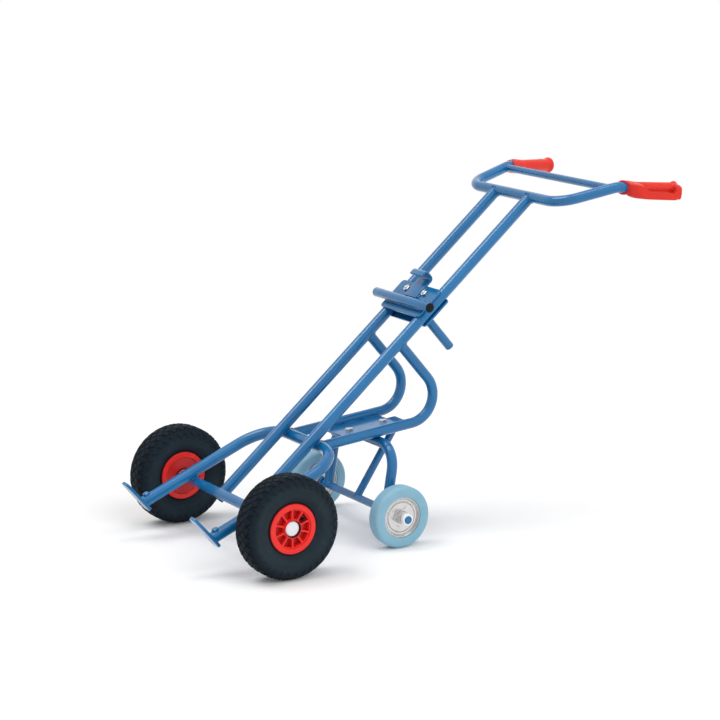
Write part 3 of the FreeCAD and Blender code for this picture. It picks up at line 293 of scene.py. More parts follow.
class Network:
    """A tree of shader nodes whose nodes come from one method."""

    def __init__(self, tree):
        self.tree = tree

    def node(self, kind, settings, sockets, out=0):
        made = self.tree.nodes.new(kind)
        for name, value in settings.items():
            setattr(made, name, value)
        for key, value in sockets.items():
            if isinstance(value, Value):
                self.tree.links.new(value.socket, made.inputs[key])
            else:
                made.inputs[key].default_value = value
        return Value(self, made.outputs[out])

    def seen(self):
        """1 for the rays that show a surface: from the camera, off a mirror or through glass."""
        rays = ("Is Camera Ray", "Is Glossy Ray", "Is Transmission Ray")
        return sum(self.node("ShaderNodeLightPath", {}, {}, ray) for ray in rays)


class Finish(Network):
    """A material: constants on its shader's sockets, patterns fed into others."""

    def __init__(self, name, **constants):
        self.name = name
        self.material = bpy.data.materials.new(name)
        self.material.use_nodes = True
        super().__init__(self.material.node_tree)
        self.shader = self.tree.nodes["Principled BSDF"]
        for socket, value in constants.items():
            self.shader.inputs[socket.replace("_", " ")].default_value = value
        self.place = self.node("ShaderNodeTexCoord", {}, {}, "Object")

    def noise(self, scale, detail=2.0, rough=0.5):
        """Soft random spots, scale of them to the metre."""
        sockets = {"Vector": self.place, "Scale": scale, "Detail": detail, "Roughness": rough}
        return self.node("ShaderNodeTexNoise", {"noise_dimensions": "3D"}, sockets)

    def step(self, value, low, high):
        """0 below low, 1 above high and a soft step between."""
        return self.node("ShaderNodeMapRange", {"interpolation_type": "SMOOTHSTEP"},
                         {"Value": value, "From Min": low, "From Max": high})

    def mix(self, share, first, second):
        """First colour at 0, second at 1."""
        return self.node("ShaderNodeMix", {"data_type": "RGBA"}, {0: share, 6: first, 7: second}, 2)

    def relief(self, height, strength, depth):
        sockets = {"Height": height, "Strength": strength, "Distance": depth * MM}
        self.feed(Normal=self.node("ShaderNodeBump", {}, sockets))

    def feed(self, **values):
        for socket, value in values.items():
            self.tree.links.new(value.socket, self.shader.inputs[socket.replace("_", " ")])


def colour(red, green, blue):
    """A colour as a paint chip shows it, 0 to 255, as the linear light that shaders work in."""
    chip = np.array([red, green, blue]) / 255
    light = np.where(chip <= 0.04045, chip / 12.92, ((chip + 0.055) / 1.055) ** 2.4)
    return (*light.tolist(), 1.0)


print("a middle grey chip gives back", round(colour(128, 128, 128)[0], 3), "of the light")

# %% [markdown]
# ## Blue powder coat
# The frame is sprayed with blue powder and baked. The skin is even but not flat: it flows into a very
# fine orange peel and picks up dull handling marks. Three noises do it: broad, faint patches of tone
# and gloss, smaller dull marks, and a peel finer than a millimetre in the relief.

# %% Powder coat
def powder_coat(name, chip, deep_chip):
    finish = Finish(name, Coat_Roughness=0.14, Specular_IOR_Level=0.1)
    patches = finish.noise(9.0, 3.0)
    handling = finish.step(finish.noise(38.0, 1.0), 0.55, 0.78)
    peel = finish.noise(1400.0, 1.0)
    tone = finish.mix(finish.step(patches, 0.3, 0.7), colour(*deep_chip), colour(*chip))
    dulled = finish.mix(handling * 0.06, tone, colour(120, 160, 190))
    finish.feed(Base_Color=dulled, Roughness=0.34 + handling * 0.12 + patches * 0.05,
                Coat_Weight=0.95 - handling * 0.25)
    finish.relief(peel, 0.04, 0.015)
    return finish


frame_blue = powder_coat("frame_blue", (8, 107, 163), (3, 97, 151))
print("powder coat:", len(frame_blue.tree.nodes), "nodes")

# %% [markdown]
# ## Zinc plating
# Bolts, washers and wheel discs are zinc plated: a bright grey metal with a faint mottle of crystals
# and a soft, uneven gloss. A cell pattern gives the crystals, and a fine noise roughens the mirror.

# %% Zinc
def zinc_plate(name, bright, dull, mottle_scale, stains, dullness):
    finish = Finish(name, Metallic=1.0)
    crystals = finish.node("ShaderNodeTexVoronoi", {"feature": "SMOOTH_F1"},
                           {"Vector": finish.place, "Scale": mottle_scale, "Randomness": 1.0})
    stain = finish.step(finish.noise(60.0, 2.0), 0.4, 0.75)
    tone = finish.mix(finish.step(crystals, 0.1, 0.9), colour(*bright), colour(*dull))
    finish.feed(Base_Color=finish.mix(stain * stains, tone, colour(150, 150, 146)),
                Roughness=dullness + stain * 0.10 + crystals * 0.05)
    finish.relief(finish.noise(900.0, 2.0), 0.03, 0.05)
    return finish


zinc_steel = zinc_plate("zinc_steel", (226, 226, 224), (196, 197, 198), 420.0, 0.25, 0.22)
disc_zinc = zinc_plate("disc_zinc", (214, 212, 211), (204, 203, 203), 160.0, 0.1, 0.13)
print("zinc: two finishes")

# %% [markdown]
# ## Rubber
# The air tyres are black rubber with a bloom of dust that settles in the pores; the small solid tyres
# are a pale blue-grey rubber that leaves no marks. Both are dull. Fine pores come from the relief, and
# a broad noise moves the tone a little, as wiping does. On the air tyres the tread is painted darker, the
# darkest part of the tyre, as painted shade for light that grazes it; the distance from the axle tells where
# it is.

# %% Rubber finishes
def from_axle(finish):
    """The pattern's place, measured from the middle of the main axle, and the distance from that axle."""
    kind, side_view = "ShaderNodeVectorMath", (1.0, 0.0, 1.0)
    place = finish.node(kind, {"operation": "SUBTRACT"}, {0: finish.place, 1: AXLE.tolist()})
    flat = finish.node(kind, {"operation": "MULTIPLY"}, {0: place, 1: side_view})
    return place, finish.node(kind, {"operation": "LENGTH"}, {0: flat}, "Value")


# where the painted tread shade begins and is full, in metres from the main axle
TREAD_SHADE_FROM, TREAD_SHADE_FULL = 0.098, 0.124


def rubber(name, chip, worn_chip, dust_chip, dullness, shine, painted_tread_shade=None):
    finish = Finish(name, Specular_IOR_Level=shine)
    rubbed = finish.step(finish.noise(16.0, 4.0, 0.6), 0.35, 0.7)
    dust = finish.step(finish.noise(120.0, 5.0, 0.7), 0.5, 0.8)
    tone = finish.mix(rubbed, colour(*chip), colour(*worn_chip))
    if painted_tread_shade:
        # painted shade: the tread's colour is mixed towards a darker rubber with the distance from the axle
        tone = finish.mix(finish.step(from_axle(finish)[1], TREAD_SHADE_FROM, TREAD_SHADE_FULL), tone, colour(*painted_tread_shade))
    finish.feed(Base_Color=finish.mix(dust * 0.10, tone, colour(*dust_chip)),
                Roughness=dullness - 0.08 + dust * 0.12 - rubbed * 0.05)
    finish.relief(finish.noise(900.0, 3.0, 0.6), 0.15, 0.15)
    return finish


# the last colour of tyre_black is the painted shade on the tread
tyre_black = rubber("tyre_black", (35, 46, 53), (41, 52, 60), (88, 96, 102), 0.62, 0.05, (22, 31, 38))
support_grey = rubber("support_tyre_grey", (127, 172, 192), (136, 178, 198), (165, 178, 184), 0.55, 0.25)
print("rubber: two finishes")

# %% [markdown]
# ## Moulded plastic
# Rims and grips are injection-moulded: glossy where the mould was polished, with a faint grain where it
# was eroded, and slow flow marks in the colour. White caps, black plugs and the bearing sleeves are
# the same process in other colours, so one function serves them all. On the rims, shade is painted into
# the colour as a darker red: in the gap round the cap, along the edge that the tyre shades, and a little
# deep in the pockets; the distance from the axle tells where.

# %% Plastic finishes
def moulded(name, chip, flow_chip, dullness, grain_scale, grain, shine=0.35, painted_shade=None):
    finish = Finish(name, Specular_IOR_Level=shine, Coat_Roughness=0.2)
    flow = finish.step(finish.noise(22.0, 2.0), 0.3, 0.7)
    scuffs = finish.step(finish.noise(150.0, 6.0, 0.68), 0.56, 0.74)
    tone = finish.mix(flow, colour(*chip), colour(*flow_chip))
    if painted_shade:
        # painted shade: the colour is darkened towards a deep red by the share that the shade function gives
        tone = finish.mix(painted_shade(finish), tone, colour(52, 10, 14))
    finish.feed(Base_Color=tone, Roughness=dullness + scuffs * 0.12 + flow * 0.03,
                Coat_Weight=0.15 - scuffs * 0.1)
    finish.relief(finish.noise(grain_scale, 2.0), grain, 0.1)
    return finish


def rim_painted_shade(finish):
    """Share of painted shade: most in the gap round the cap, some on the edge by the tyre, a little deep in
    the pockets; places in metres.
    """
    place, reach = from_axle(finish)
    across = finish.node("ShaderNodeSeparateXYZ", {}, {0: place}, "Y")
    outward = finish.node("ShaderNodeMath", {"operation": "ABSOLUTE"}, {0: across})
    gap = finish.step(reach, 0.0180, 0.0186) * (1 - finish.step(reach, 0.0214, 0.0222))
    edge = finish.step(reach, 0.0612, 0.0638)
    deep = (1 - finish.step(outward, 0.3055, 0.3190)) * (1 - finish.step(reach, 0.0470, 0.0490))
    return gap * 0.9 + edge * 0.75 + deep * 0.35


# the rim's last argument paints shade into its red: in the cap's gap, on the edge and in the pockets
rim_red = moulded("rim_red", (236, 42, 36), (228, 36, 32), 0.32, 700.0, 0.05, 0.3, rim_painted_shade)
grip_red = moulded("grip_red", (222, 42, 23), (213, 36, 19), 0.36, 900.0, 0.04, 0.32)
cap_white = moulded("cap_white", (232, 232, 236), (224, 224, 229), 0.38, 900.0, 0.08)
plug_black = moulded("plug_black", (8, 14, 18), (12, 19, 24), 0.5, 900.0, 0.10, 0.12)
bearing_white = moulded("bearing_white", (242, 242, 240), (236, 236, 233), 0.42, 900.0, 0.08)
print("plastic: five finishes")

# %% [markdown]
# ## Rails
# The two rails are straight steel tubes. A plain cylinder would show a razor edge at its foot, so each
# rail is turned from a profile with a wall, an open bore and a slightly broken edge. Its top end runs
# into the handle's bar, where a weld covers it.

# %% Rails
RAIL_RADIUS, RAIL_BORE, RAIL_FOOT, RAIL_TOP, BORE_END = 15.0, 12.5, -9.0, 1112.0, 60.0


def frame_piece(name, grids, *nodes):
    """A blue piece that is welded or bolted to the frame."""
    piece(name, grids, frame_blue, "trolley_frame", *nodes)


rail_profile = bent_line([(0, BORE_END), (RAIL_BORE, BORE_END), (RAIL_BORE, RAIL_FOOT),
                          (RAIL_RADIUS, RAIL_FOOT), (RAIL_RADIUS, RAIL_TOP), (0, RAIL_TOP)],
                         [0.5, 0.8, 0.8, 3.5], 4)
for side, sign in SIDES.items():
    foot = on_rails(0, 0, sign * RAIL_SIDE)
    frame_piece(f"{side}_rail_tube", [turned(rail_profile, foot, ALONG, ACROSS, 40)], f"{side}_rail")
print("rails", len(rail_profile), "profile points")

# %% [markdown]
# ## Base hoop and toes
# One tube is bent into an upside-down U. Its legs lean past the axle tube and end on flat steel toes.
# A swept circle makes the hoop; its two end rings are slid along the leg onto the toe's plane, as a
# saw cut would leave them. The toes are cut from plate with rounded corners.

# %% Base hoop
HOOP_RADIUS, HOOP_BEND, HOOP_SIDE = 15.0, 100.0, 190.0
TOE_STATION, FOOT_DEPTH, FOOT_LAP = -135.0, -91.56, 2.0


def sawn(ring, way, point, normal):
    """Slides a ring of points along way until it lies on the plane through point."""
    return ring + ((point - ring) @ normal / (way @ normal))[..., None] * way


def foot_of(sign):
    return on_rails(TOE_STATION, FOOT_DEPTH, sign * HOOP_SIDE)


hoop_corners = [foot_of(-1), on_rails(BAR_STATION, BAR_DEPTH, -HOOP_SIDE),
                on_rails(BAR_STATION, BAR_DEPTH, HOOP_SIDE), foot_of(1)]
hoop_up = unit(hoop_corners[1] - hoop_corners[0])
hoop_front = np.cross(hoop_up, ACROSS)
hoop = tube(hoop_corners, HOOP_BEND, HOOP_RADIUS, hoop_front, 32)
for end, sign in ((0, -1), (-1, 1)):
    hoop[end] = sawn(hoop[end], hoop_up, foot_of(sign) - MM * FOOT_LAP * ALONG, ALONG)
frame_piece("base_hoop_tube", [capped(hoop)], "base_hoop")
print("hoop leans", round(math.degrees(math.acos(hoop_up @ ALONG)), 2), "degrees from the rails")


# %% [markdown]
# Plates are outlines lifted to a thickness. The outline's corners are arcs, so every point knows its
# outward normal, and insetting the outline along it rolls the edge over without any boolean.

# %% Plates
def rounded_outline(corners, radius, steps=5):
    """Points and outward normals round a convex outline: arc centre + radius times normal."""
    corners = np.asarray(corners, float)
    before = unit(corners - np.roll(corners, 1, axis=0))
    after = unit(np.roll(corners, -1, axis=0) - corners)
    turn = np.arctan2(before[:, 0] * after[:, 1] - before[:, 1] * after[:, 0], (before * after).sum(-1))
    centre = corners + unit(after - before) * radius / np.cos(turn / 2)[:, None]
    start = np.arctan2(-before[:, 0], before[:, 1])
    angle = start[:, None] + turn[:, None] * np.linspace(0, 1, steps + 1)
    normal = np.stack([np.cos(angle), np.sin(angle)], axis=-1)
    points = (centre[:, None] + radius * normal).reshape(-1, 2)
    normal = normal.reshape(-1, 2)
    return np.concatenate([points, points[:1]]), np.concatenate([normal, normal[:1]])


def plate(corners, corner_radius, thickness, edge, origin, x_way, y_way):
    """Rings of the outline, inset by edge * (1 - sine) while they climb edge * (1 - cosine)."""
    points, normal = rounded_outline(corners, corner_radius)
    quarter = np.linspace(0, math.pi / 2, 4)
    roll_in, roll_up = edge * (1 - np.sin(quarter)), edge * (1 - np.cos(quarter))
    inset = np.concatenate([[edge + 1], roll_in, roll_in[::-1], [edge + 1]])
    height = np.concatenate([[0], roll_up, thickness - roll_up[::-1], [thickness]])
    rings = points[None] - inset[:, None, None] * normal[None]
    up = np.cross(x_way, y_way)
    flat = rings[..., :1] * x_way + rings[..., 1:] * y_way + height[:, None, None] * up
    return capped(origin + MM * flat)


def box_corners(x0, x1, y0, y1):
    return [(x0, y0), (x1, y0), (x1, y1), (x0, y1)]


TOE_THICK, TOE_ROUND, STOP_RISE = 8.0, 9.0, 14.0
toe_corners = [(24, -19), (24, 19), (-43, 19), (-79, 15), (-79, -15), (-43, -19)]
knob = bent_line([(0, 4), (9, 4), (9, 18.6), (4.5, 21), (0, 21)], [0.5, 2.5, 2.5], 5)
for side, sign in SIDES.items():
    root = on_rails(TOE_STATION - TOE_THICK, FOOT_DEPTH, sign * HOOP_SIDE)
    toe = plate(toe_corners, TOE_ROUND, TOE_THICK, 1.3, root, REAR, ACROSS)
    frame_piece(f"{side}_toe", [toe], f"{side}_toe_plate")
    stop_root = foot_of(sign) + MM * STOP_RISE * hoop_up
    frame_piece(f"{side}_stop_knob", [turned(knob, stop_root, hoop_front, ACROSS, 32)], f"{side}_chime_stop")
print("toes and stops on both sides")

# %% [markdown]
# ## Axle tube and rear legs
# The axle tube crosses behind the hoop's legs. The rear legs leave the rails square, bend once and run
# down to the hoop's top bar. They are swept in their own plane, so the section never twists.

# %% Axle tube and rear legs
THIN_TUBE, AXLE_TUBE_HALF = 13.45, 256.9
LEG_BEND, LEG_STATION, LEG_DEPTH = 70.0, 582.3, 267.06
LEG_START, LEG_LAP = 4.0, 5.0
axle_tube = rod(THIN_TUBE, -AXLE_TUBE_HALF, AXLE_TUBE_HALF, 0.9, 4)
frame_piece("axle_cross_tube", [turned(axle_tube, AXLE, ACROSS, BACK, 36)], "main_axle_tube")
for side, sign in SIDES.items():
    place = sign * RAIL_SIDE
    corners = [on_rails(LEG_STATION, LEG_START, place), on_rails(LEG_STATION, LEG_DEPTH, place),
               on_rails(BAR_STATION, BAR_DEPTH, place) + MM * LEG_LAP * LEG_RUN]
    frame_piece(f"{side}_bent_leg", [capped(tube(corners, LEG_BEND, THIN_TUBE, ACROSS))], f"{side}_rear_leg")
print("legs end", (corners[2] / MM).round(1))

# %% [markdown]
# ## Bolted plates and the rear support
# A plate welded between the rear legs carries the support: a second plate, a small hoop, a brace and an
# axle. The two plates are held by hexagon bolts. The brace is sawn to the plate's underside.

# %% Support plates, hoop, brace and axle
PLATE_START, PLATE_THICK, JOINT_DROP, SUPPORT_START = 96.0, 6.0, 11.0, 100.0
TOP_DROP, UNDER_DROP = JOINT_DROP - PLATE_THICK, JOINT_DROP + PLATE_THICK
SUPPORT = AXLE + MM * (372.8 * BACK - 50.0 * UP)
SUPPORT_SIDE, SUPPORT_HEIGHT, SUPPORT_BEND = 146.0, 163.0, 60.0
support_up, brace_up = leaning(90 - 9.2), leaning(90 - 33.5)
BRACE_RADIUS, BRACE_LENGTH, BRACE_RUN, BRACE_LAP = 10.0, 220.0, 200.0, 2.0
SHAFT_RADIUS, SHAFT_HALF = 10.0, 254.4

mount_corners, top_corners = box_corners(0, 166, -68, 68), box_corners(0, 198, -42, 42)
mount = plate(mount_corners, 3.0, PLATE_THICK, 1.0, under_legs(PLATE_START, JOINT_DROP), LEG_RUN, ACROSS)
frame_piece("leg_plate", [mount], "mounting_plate")
top = plate(top_corners, 3.5, PLATE_THICK, 1.2, under_legs(SUPPORT_START, UNDER_DROP), LEG_RUN, ACROSS)
frame_piece("support_plate", [top], "support_top_plate")
left_foot, right_foot = beside(SUPPORT, -SUPPORT_SIDE), beside(SUPPORT, SUPPORT_SIDE)
arch_rise = MM * SUPPORT_HEIGHT * support_up
arch_corners = [left_foot, left_foot + arch_rise, right_foot + arch_rise, right_foot]
arch = tube(arch_corners, SUPPORT_BEND, THIN_TUBE, np.cross(support_up, ACROSS))
frame_piece("support_arch", [capped(arch)], "support_hoop")
brace = tube([SUPPORT, SUPPORT + MM * BRACE_LENGTH * brace_up], 0.0, BRACE_RADIUS, ACROSS, 24)
brace[-1] = sawn(brace[-1], brace_up, under_legs(BRACE_RUN, UNDER_DROP - BRACE_LAP), LEG_UP)
frame_piece("brace_tube", [capped(brace)], "support_brace")
half_shaft = bent_line([(0, SHAFT_HALF), (SHAFT_RADIUS, SHAFT_HALF), (SHAFT_RADIUS, 175.5), (15, 175.5),
                        (15, 167.5), (SHAFT_RADIUS, 167.5), (SHAFT_RADIUS, 0)], [1.5, 0.6, 1.0, 1.0, 0.6], 4)
frame_piece("support_shaft", [turned(mirrored(half_shaft), SUPPORT, ACROSS, BACK, 36)], "support_axle")
print("support axle at", SUPPORT.round(4))


# %% [markdown]
# A bolt head is a hexagon in plan, so its radius changes with the angle: half the width across flats,
# divided by the cosine of the angle from the nearest flat. A cone over it takes the corners off the top.

# %% Bolts and nuts
def hexagon_head(seat, way, side, flats, height, columns=48):
    """Radius half * flats / cosine of the angle to the flat; the top is cut by a 30 degree cone."""
    turn = ring_angles(columns)
    edge = flats / 2 / np.cos(np.mod(turn, math.pi / 3) - math.pi / 6)
    crown = np.full_like(turn, flats / 2 * 0.95)
    chamfer = height - (edge - crown) * math.tan(math.radians(30))
    radius = np.stack([0 * edge, edge, edge, crown, 0 * edge])
    climb = np.stack([0 * edge, 0 * edge, chamfer, 0 * edge + height, 0 * edge + height])
    return seat + MM * (radius[..., None] * around(turn, way, side) + climb[..., None] * way)


def bolted(stem, body, seats, way, side, flats, height, radius, length):
    """Bolts through pairs of seats: a head on the first, the bolt's end and a nut on the second."""
    end = rod(radius, 0, length, [0.1, 1.2], 3)
    heads, nuts = [], []
    for head_seat, nut_seat in seats:
        heads.append(hexagon_head(head_seat, way, side, flats, height))
        heads.append(turned(end, nut_seat, -way, side, 24))
        nuts.append(hexagon_head(nut_seat, -way, side, flats, height))
    piece(f"{stem}_bolt_heads", heads, zinc_steel, body, f"{stem}_bolts")
    piece(f"{stem}_hex_nuts", nuts, zinc_steel, body, f"{stem}_nuts")


bolt_runs = PLATE_START + np.array([36.5, 140.0])
plate_seats = [(under_legs(run, TOP_DROP), under_legs(run, UNDER_DROP)) for run in bolt_runs]
bolted("plate", "trolley_frame", plate_seats, LEG_UP, LEG_RUN, 19.0, 7.5, 6.0, 10.5)
print("two bolts and nuts at the plates")

# %% [markdown]
# ## Handle and grips
# The handle is one tube bent four times: two wide corners in front, and a slight drop where the grips
# sit. Its path leaves the flat, so the section is carried with the world's up as its side.

# %% Handle
HANDLE_STATION, BOW_HALF, BOW_RADIUS, ARM_RUN, ARM_SPLAY = 1114.0, 206.8, 14.0, 158.0, math.radians(14.2)
GRIP_SPLAY, GRIP_FALL, GRIP_TUBE = math.radians(12.2), math.radians(4.3), 158.0
BAR_PLACE, BAR_RADIUS, BAR_HALF = 145.0, 10.0, 241.0
handle_front = on_rails(HANDLE_STATION)
arm_back = leaning(12.7)


def handle_side(sign):
    """Front corner, kink and grip direction of one side of the bow."""
    corner = beside(handle_front, sign * BOW_HALF)
    kink = corner + MM * ARM_RUN * (arm_back + sign * math.tan(ARM_SPLAY) * ACROSS)
    level = math.cos(GRIP_SPLAY) * BACK + sign * math.sin(GRIP_SPLAY) * ACROSS
    return corner, kink, math.cos(GRIP_FALL) * level - math.sin(GRIP_FALL) * UP


left_corner, left_kink, left_way = handle_side(-1)
right_corner, right_kink, right_way = handle_side(1)
bow_corners = [left_kink + MM * GRIP_TUBE * left_way, left_kink, left_corner,
               right_corner, right_kink, right_kink + MM * GRIP_TUBE * right_way]
bow = tube(bow_corners, [60.0, 70.0, 70.0, 60.0], BOW_RADIUS, UP, 30)
frame_piece("handle_tube", [capped(bow)], "handle_bow")
bar_middle = handle_front + MM * BAR_PLACE * arm_back
bar_profile = [(0, -BAR_HALF), (BAR_RADIUS, -BAR_HALF), (BAR_RADIUS, BAR_HALF), (0, BAR_HALF)]
frame_piece("handle_bar", [turned(bar_profile, bar_middle, ACROSS, UP, 28)], "handle_cross_bar")
print("handle tube:", triangles["handle_tube"], "triangles")


# %% [markdown]
# The grips are red mouldings: a sleeve that widens to an end flange and, outside it, a guard that keeps
# the knuckles off door frames. The sleeve is turned, and its mouth is cut on the slant. The guard is a
# loft: at each place along the grip it has an inner and an outer face, a lower edge and a sloping top,
# and these four lines are formulas. It starts as a hood that closes on the sleeve, thins to a wall and
# dips for the hand, and closes on the flange again as an end plate.

# %% Grips
def softened(u, v, roundness):
    """The square's loop with its corners drawn in towards a circle."""
    return u * np.sqrt(1 - roundness * v * v / 2), v * np.sqrt(1 - roundness * u * u / 2)


def square_loop(arc_steps, side_steps):
    """A loop round the square from -1 to 1: outer edge, side, inner edge, side."""
    arc, flank = np.linspace(-1, 1, arc_steps + 1), np.linspace(1, -1, side_steps + 1)
    one, two = np.ones_like(arc), np.ones_like(flank)
    u = np.concatenate([one[:-1], flank[:-1], -one[:-1], -flank])
    v = np.concatenate([arc[:-1], two[:-1], -arc[:-1], -two])
    return u, v


GRIP_START, GRIP_LENGTH, GRIP_EDGE, HOOD_START, HOOD_FULL = 12.0, 155.0, 3.5, 13.0, 40.0
SLEEVE_OUT, GUARD_OUT, PALM_IN, PALM_ROOM = 15.0, 46.0, 8.0, 31.0
GUARD_TOP_IN, GUARD_TOP_OUT, DIP_TOP = 17.2, 13.0, -6.0
MOUTH_SLANT, MOUTH_BACK = 22.0, 7.0
sleeve_profile = bent_line([(0, 20), (14.1, 20), (14.1, 0), (19, 0), (19, 5), (16, 42), (17.6, 140),
                            (21.5, 149), (21.5, GRIP_LENGTH), (0, GRIP_LENGTH)],
                           [0.5, 1.0, 2.2, 3.0, 40.0, 14.0, 2.0, 3.5], 6)
edge_start = GRIP_LENGTH - GRIP_EDGE
rolled_end = GRIP_LENGTH - GRIP_EDGE * (1 - np.sin(np.linspace(0, math.pi / 2, 6)[1:]))
place = np.concatenate([np.linspace(HOOD_START, HOOD_FULL, 24), np.linspace(42, 136, 50),
                        np.linspace(138, edge_start, 14), rolled_end])
hood = np.sqrt(np.clip(1 - ((HOOD_FULL - place) / (HOOD_FULL - HOOD_START)) ** 2, 0, 1))
hood = np.where(place < HOOD_FULL, hood, 1.0)
dip = soft_step(place, 36, 74) * (1 - soft_step(place, 136, 145))
edge_share = np.clip(place - edge_start, 0, GRIP_EDGE) / GRIP_EDGE
edge = GRIP_EDGE * (1 - np.sqrt(np.clip(1 - edge_share ** 2, 0, 1)))
outer = SLEEVE_OUT + (GUARD_OUT - SLEEVE_OUT) * hood - edge
inner = PALM_IN + PALM_ROOM * dip
bottom = -17 - 7 * hood + edge
inner_top, outer_top = (top * (1 - dip) + DIP_TOP * dip - edge for top in (GUARD_TOP_IN, GUARD_TOP_OUT))
roundness = 0.12 + 0.3 * (1 - soft_step(place, 30, 60)) + 0.5 * soft_step(place, 134, 146)
u, v = softened(*square_loop(12, 12), roundness[:, None])
out_share, up_share = (u + 1) / 2, (v + 1) / 2
guard_out = inner[:, None] + out_share * (outer - inner)[:, None]
guard_top = inner_top[:, None] + out_share * (outer_top - inner_top)[:, None]
guard_up = bottom[:, None] + up_share * (guard_top - bottom[:, None])
near_mouth = 1 - soft_step(sleeve_profile[:, 1], 4, 44)
for side, sign in SIDES.items():
    _, kink, way = handle_side(sign)
    start = kink + MM * GRIP_START * way
    out = unit(np.cross(UP, way))
    rise = np.cross(way, out)
    slant = MOUTH_SLANT * (1 + sign * np.cos(ring_angles(40))) / 2 - MOUTH_BACK
    sleeve = turned(sleeve_profile, start, way, out, 40) + MM * (near_mouth[:, None] * slant)[..., None] * way
    guard = place[:, None, None] * way + sign * guard_out[..., None] * out + guard_up[..., None] * rise
    grids = [sleeve, capped(start + MM * guard)]
    piece(f"{side}_hand_grip", grids, grip_red, "trolley_frame", f"{side}_grip")
print("grips:", triangles["left_hand_grip"], "triangles each")


# %% [markdown]
# ## Air tyres
# The main wheels carry air tyres with a diamond tread: two families of straight grooves, slanting to
# either hand. Each groove lies in a plane through one radius of the wheel, so a point's distance from
# that plane tells if it is in the groove. A grid runs along and round the tyre, and its rows are placed
# so that every groove follows the grid's diagonals; that keeps the edges of the blocks crisp. The blocks
# end in a zig-zag, and past it the shoulders lie a little deeper.

# %% Main tyres
GROOVES, GROOVE_TILT, GROOVE_HALF, STEPS = 34, math.radians(41.0), 1.8, 22
MAIN_SIDE, CROWN, SHOULDER, LEVEL_HALF, TYRE_HALF = 292.0, 130.0, 28.0, 14.5, 42.5
GROOVE_ENDS = [(0.0, 127.0), (24.4, 127.0), (48.82, 115.41), (60.0, 110.1)]
BLOCK_END, ZIGZAG, SHOULDER_SINK, SINK_FULL, SINK_END = 50.0, 6.5, 3.0, 62.0, 86.0
RING_RADII, RING_WIDTH, RING_DEPTH = (90.0, 97.0), 1.6, 0.5


def tread_rows():
    """Radius and place across, where a groove has turned by whole grid steps since the middle."""
    round_off = np.linspace(0, math.radians(80), 400)
    radius = np.concatenate([np.full(200, CROWN), CROWN - SHOULDER * (1 - np.cos(round_off))])
    level = np.linspace(0, LEVEL_HALF, 201)[:-1]
    across = np.concatenate([level, LEVEL_HALF + SHOULDER * np.sin(round_off)])
    turned_by = np.arcsin(across * math.tan(GROOVE_TILT) / radius)
    step = 2 * math.pi / GROOVES / STEPS
    wanted = np.arange(0, math.floor(turned_by[-1] / step) + 1) * step
    return np.stack([np.interp(wanted, turned_by, radius), np.interp(wanted, turned_by, across)], axis=-1)


def groove_depth(radius, across, angle, hand):
    """How far the nearest groove of one hand has its floor under the point, 0 on the blocks."""
    pitch = 2 * math.pi / GROOVES
    lean = np.arcsin(hand * across * math.tan(GROOVE_TILT) / radius)
    beyond = angle - pitch * np.round((angle - lean) / pitch)
    tangent, height = radius * np.sin(beyond), radius * np.cos(beyond)
    aside = tangent * math.cos(GROOVE_TILT) - hand * across * math.sin(GROOVE_TILT)
    along = across * math.cos(GROOVE_TILT) + hand * tangent * math.sin(GROOVE_TILT)
    floor_height = np.interp(np.abs(along), *np.transpose(GROOVE_ENDS))
    wall = 1 - soft_step(np.abs(aside), 0.7 * GROOVE_HALF, 1.3 * GROOVE_HALF)
    return np.maximum(height - floor_height, 0) * wall


def air_tyre(centre, outward):
    """Casing - outward normal times depth: grooves, shoulders past the block ends and two fine rings."""
    tread = tread_rows()
    side_corners = [tread[-1], (CROWN - SHOULDER, TYRE_HALF), (82.5, TYRE_HALF), (66, 26.9), (66, 24)]
    side_wall = even_steps(bent_line(side_corners, [18.0, 16.0, 0.6], 14), 20)
    half = np.concatenate([tread, side_wall[1:]])
    line = np.concatenate([half[::-1] * [1, -1], half[1:]])
    slope = unit(np.gradient(line, axis=0))
    normal = np.stack([slope[:, 1], -slope[:, 0]], axis=-1)
    rings = RING_DEPTH * sum(np.exp(-((line[:, 0] - radius) / RING_WIDTH) ** 2) for radius in RING_RADII)
    angle = ring_angles(GROOVES * STEPS)[:, None]
    depth = np.maximum(*(groove_depth(line[:, 0], line[:, 1], angle, hand) for hand in (-1, 1)))
    run = run_along(line)
    run = np.abs(run - run[-1] / 2)
    block_end = BLOCK_END + ZIGZAG * np.cos(GROOVES * angle)
    bare = soft_step(run - block_end, -1.5, 1.5) * soft_step(-run, -SINK_END, -SINK_FULL)
    depth = np.maximum(depth, SHOULDER_SINK * bare)
    section = line - normal * (rings + depth)[..., None]
    bead = np.array([(66, 24), (58, 23), (58, -23), (66, -24)]) * np.ones_like(angle)[..., None]
    spokes = (np.cos(angle) * BACK + np.sin(angle) * UP)[:, None]
    return [centre + MM * (skin[..., :1] * spokes + skin[..., 1:] * outward) for skin in (section, bead)]


for side, sign in SIDES.items():
    tyre = air_tyre(beside(AXLE, sign * MAIN_SIDE), sign * ACROSS)
    piece(f"{side}_air_tyre", tyre, tyre_black, f"{side}_main_wheel", f"{side}_main_tyre")
print("air tyre:", triangles["left_air_tyre"], "triangles each")


# %% [markdown]
# ## Red rims
# The rim is moulded in one shot: two flanges, a dished web with ten pockets round the hub, and a boss.
# The web is built one tenth at a time. A square loop is mapped both to the tenth's border and to the
# pocket's rounded outline, and rings between them step over the edge and down the pocket's wall.

# %% Pocket sectors
def sector_border(u, v, inner, outer, half_angle):
    radius = (inner + outer) / 2 + u * (outer - inner) / 2
    return np.stack([radius * np.cos(v * half_angle), radius * np.sin(v * half_angle)], axis=-1)


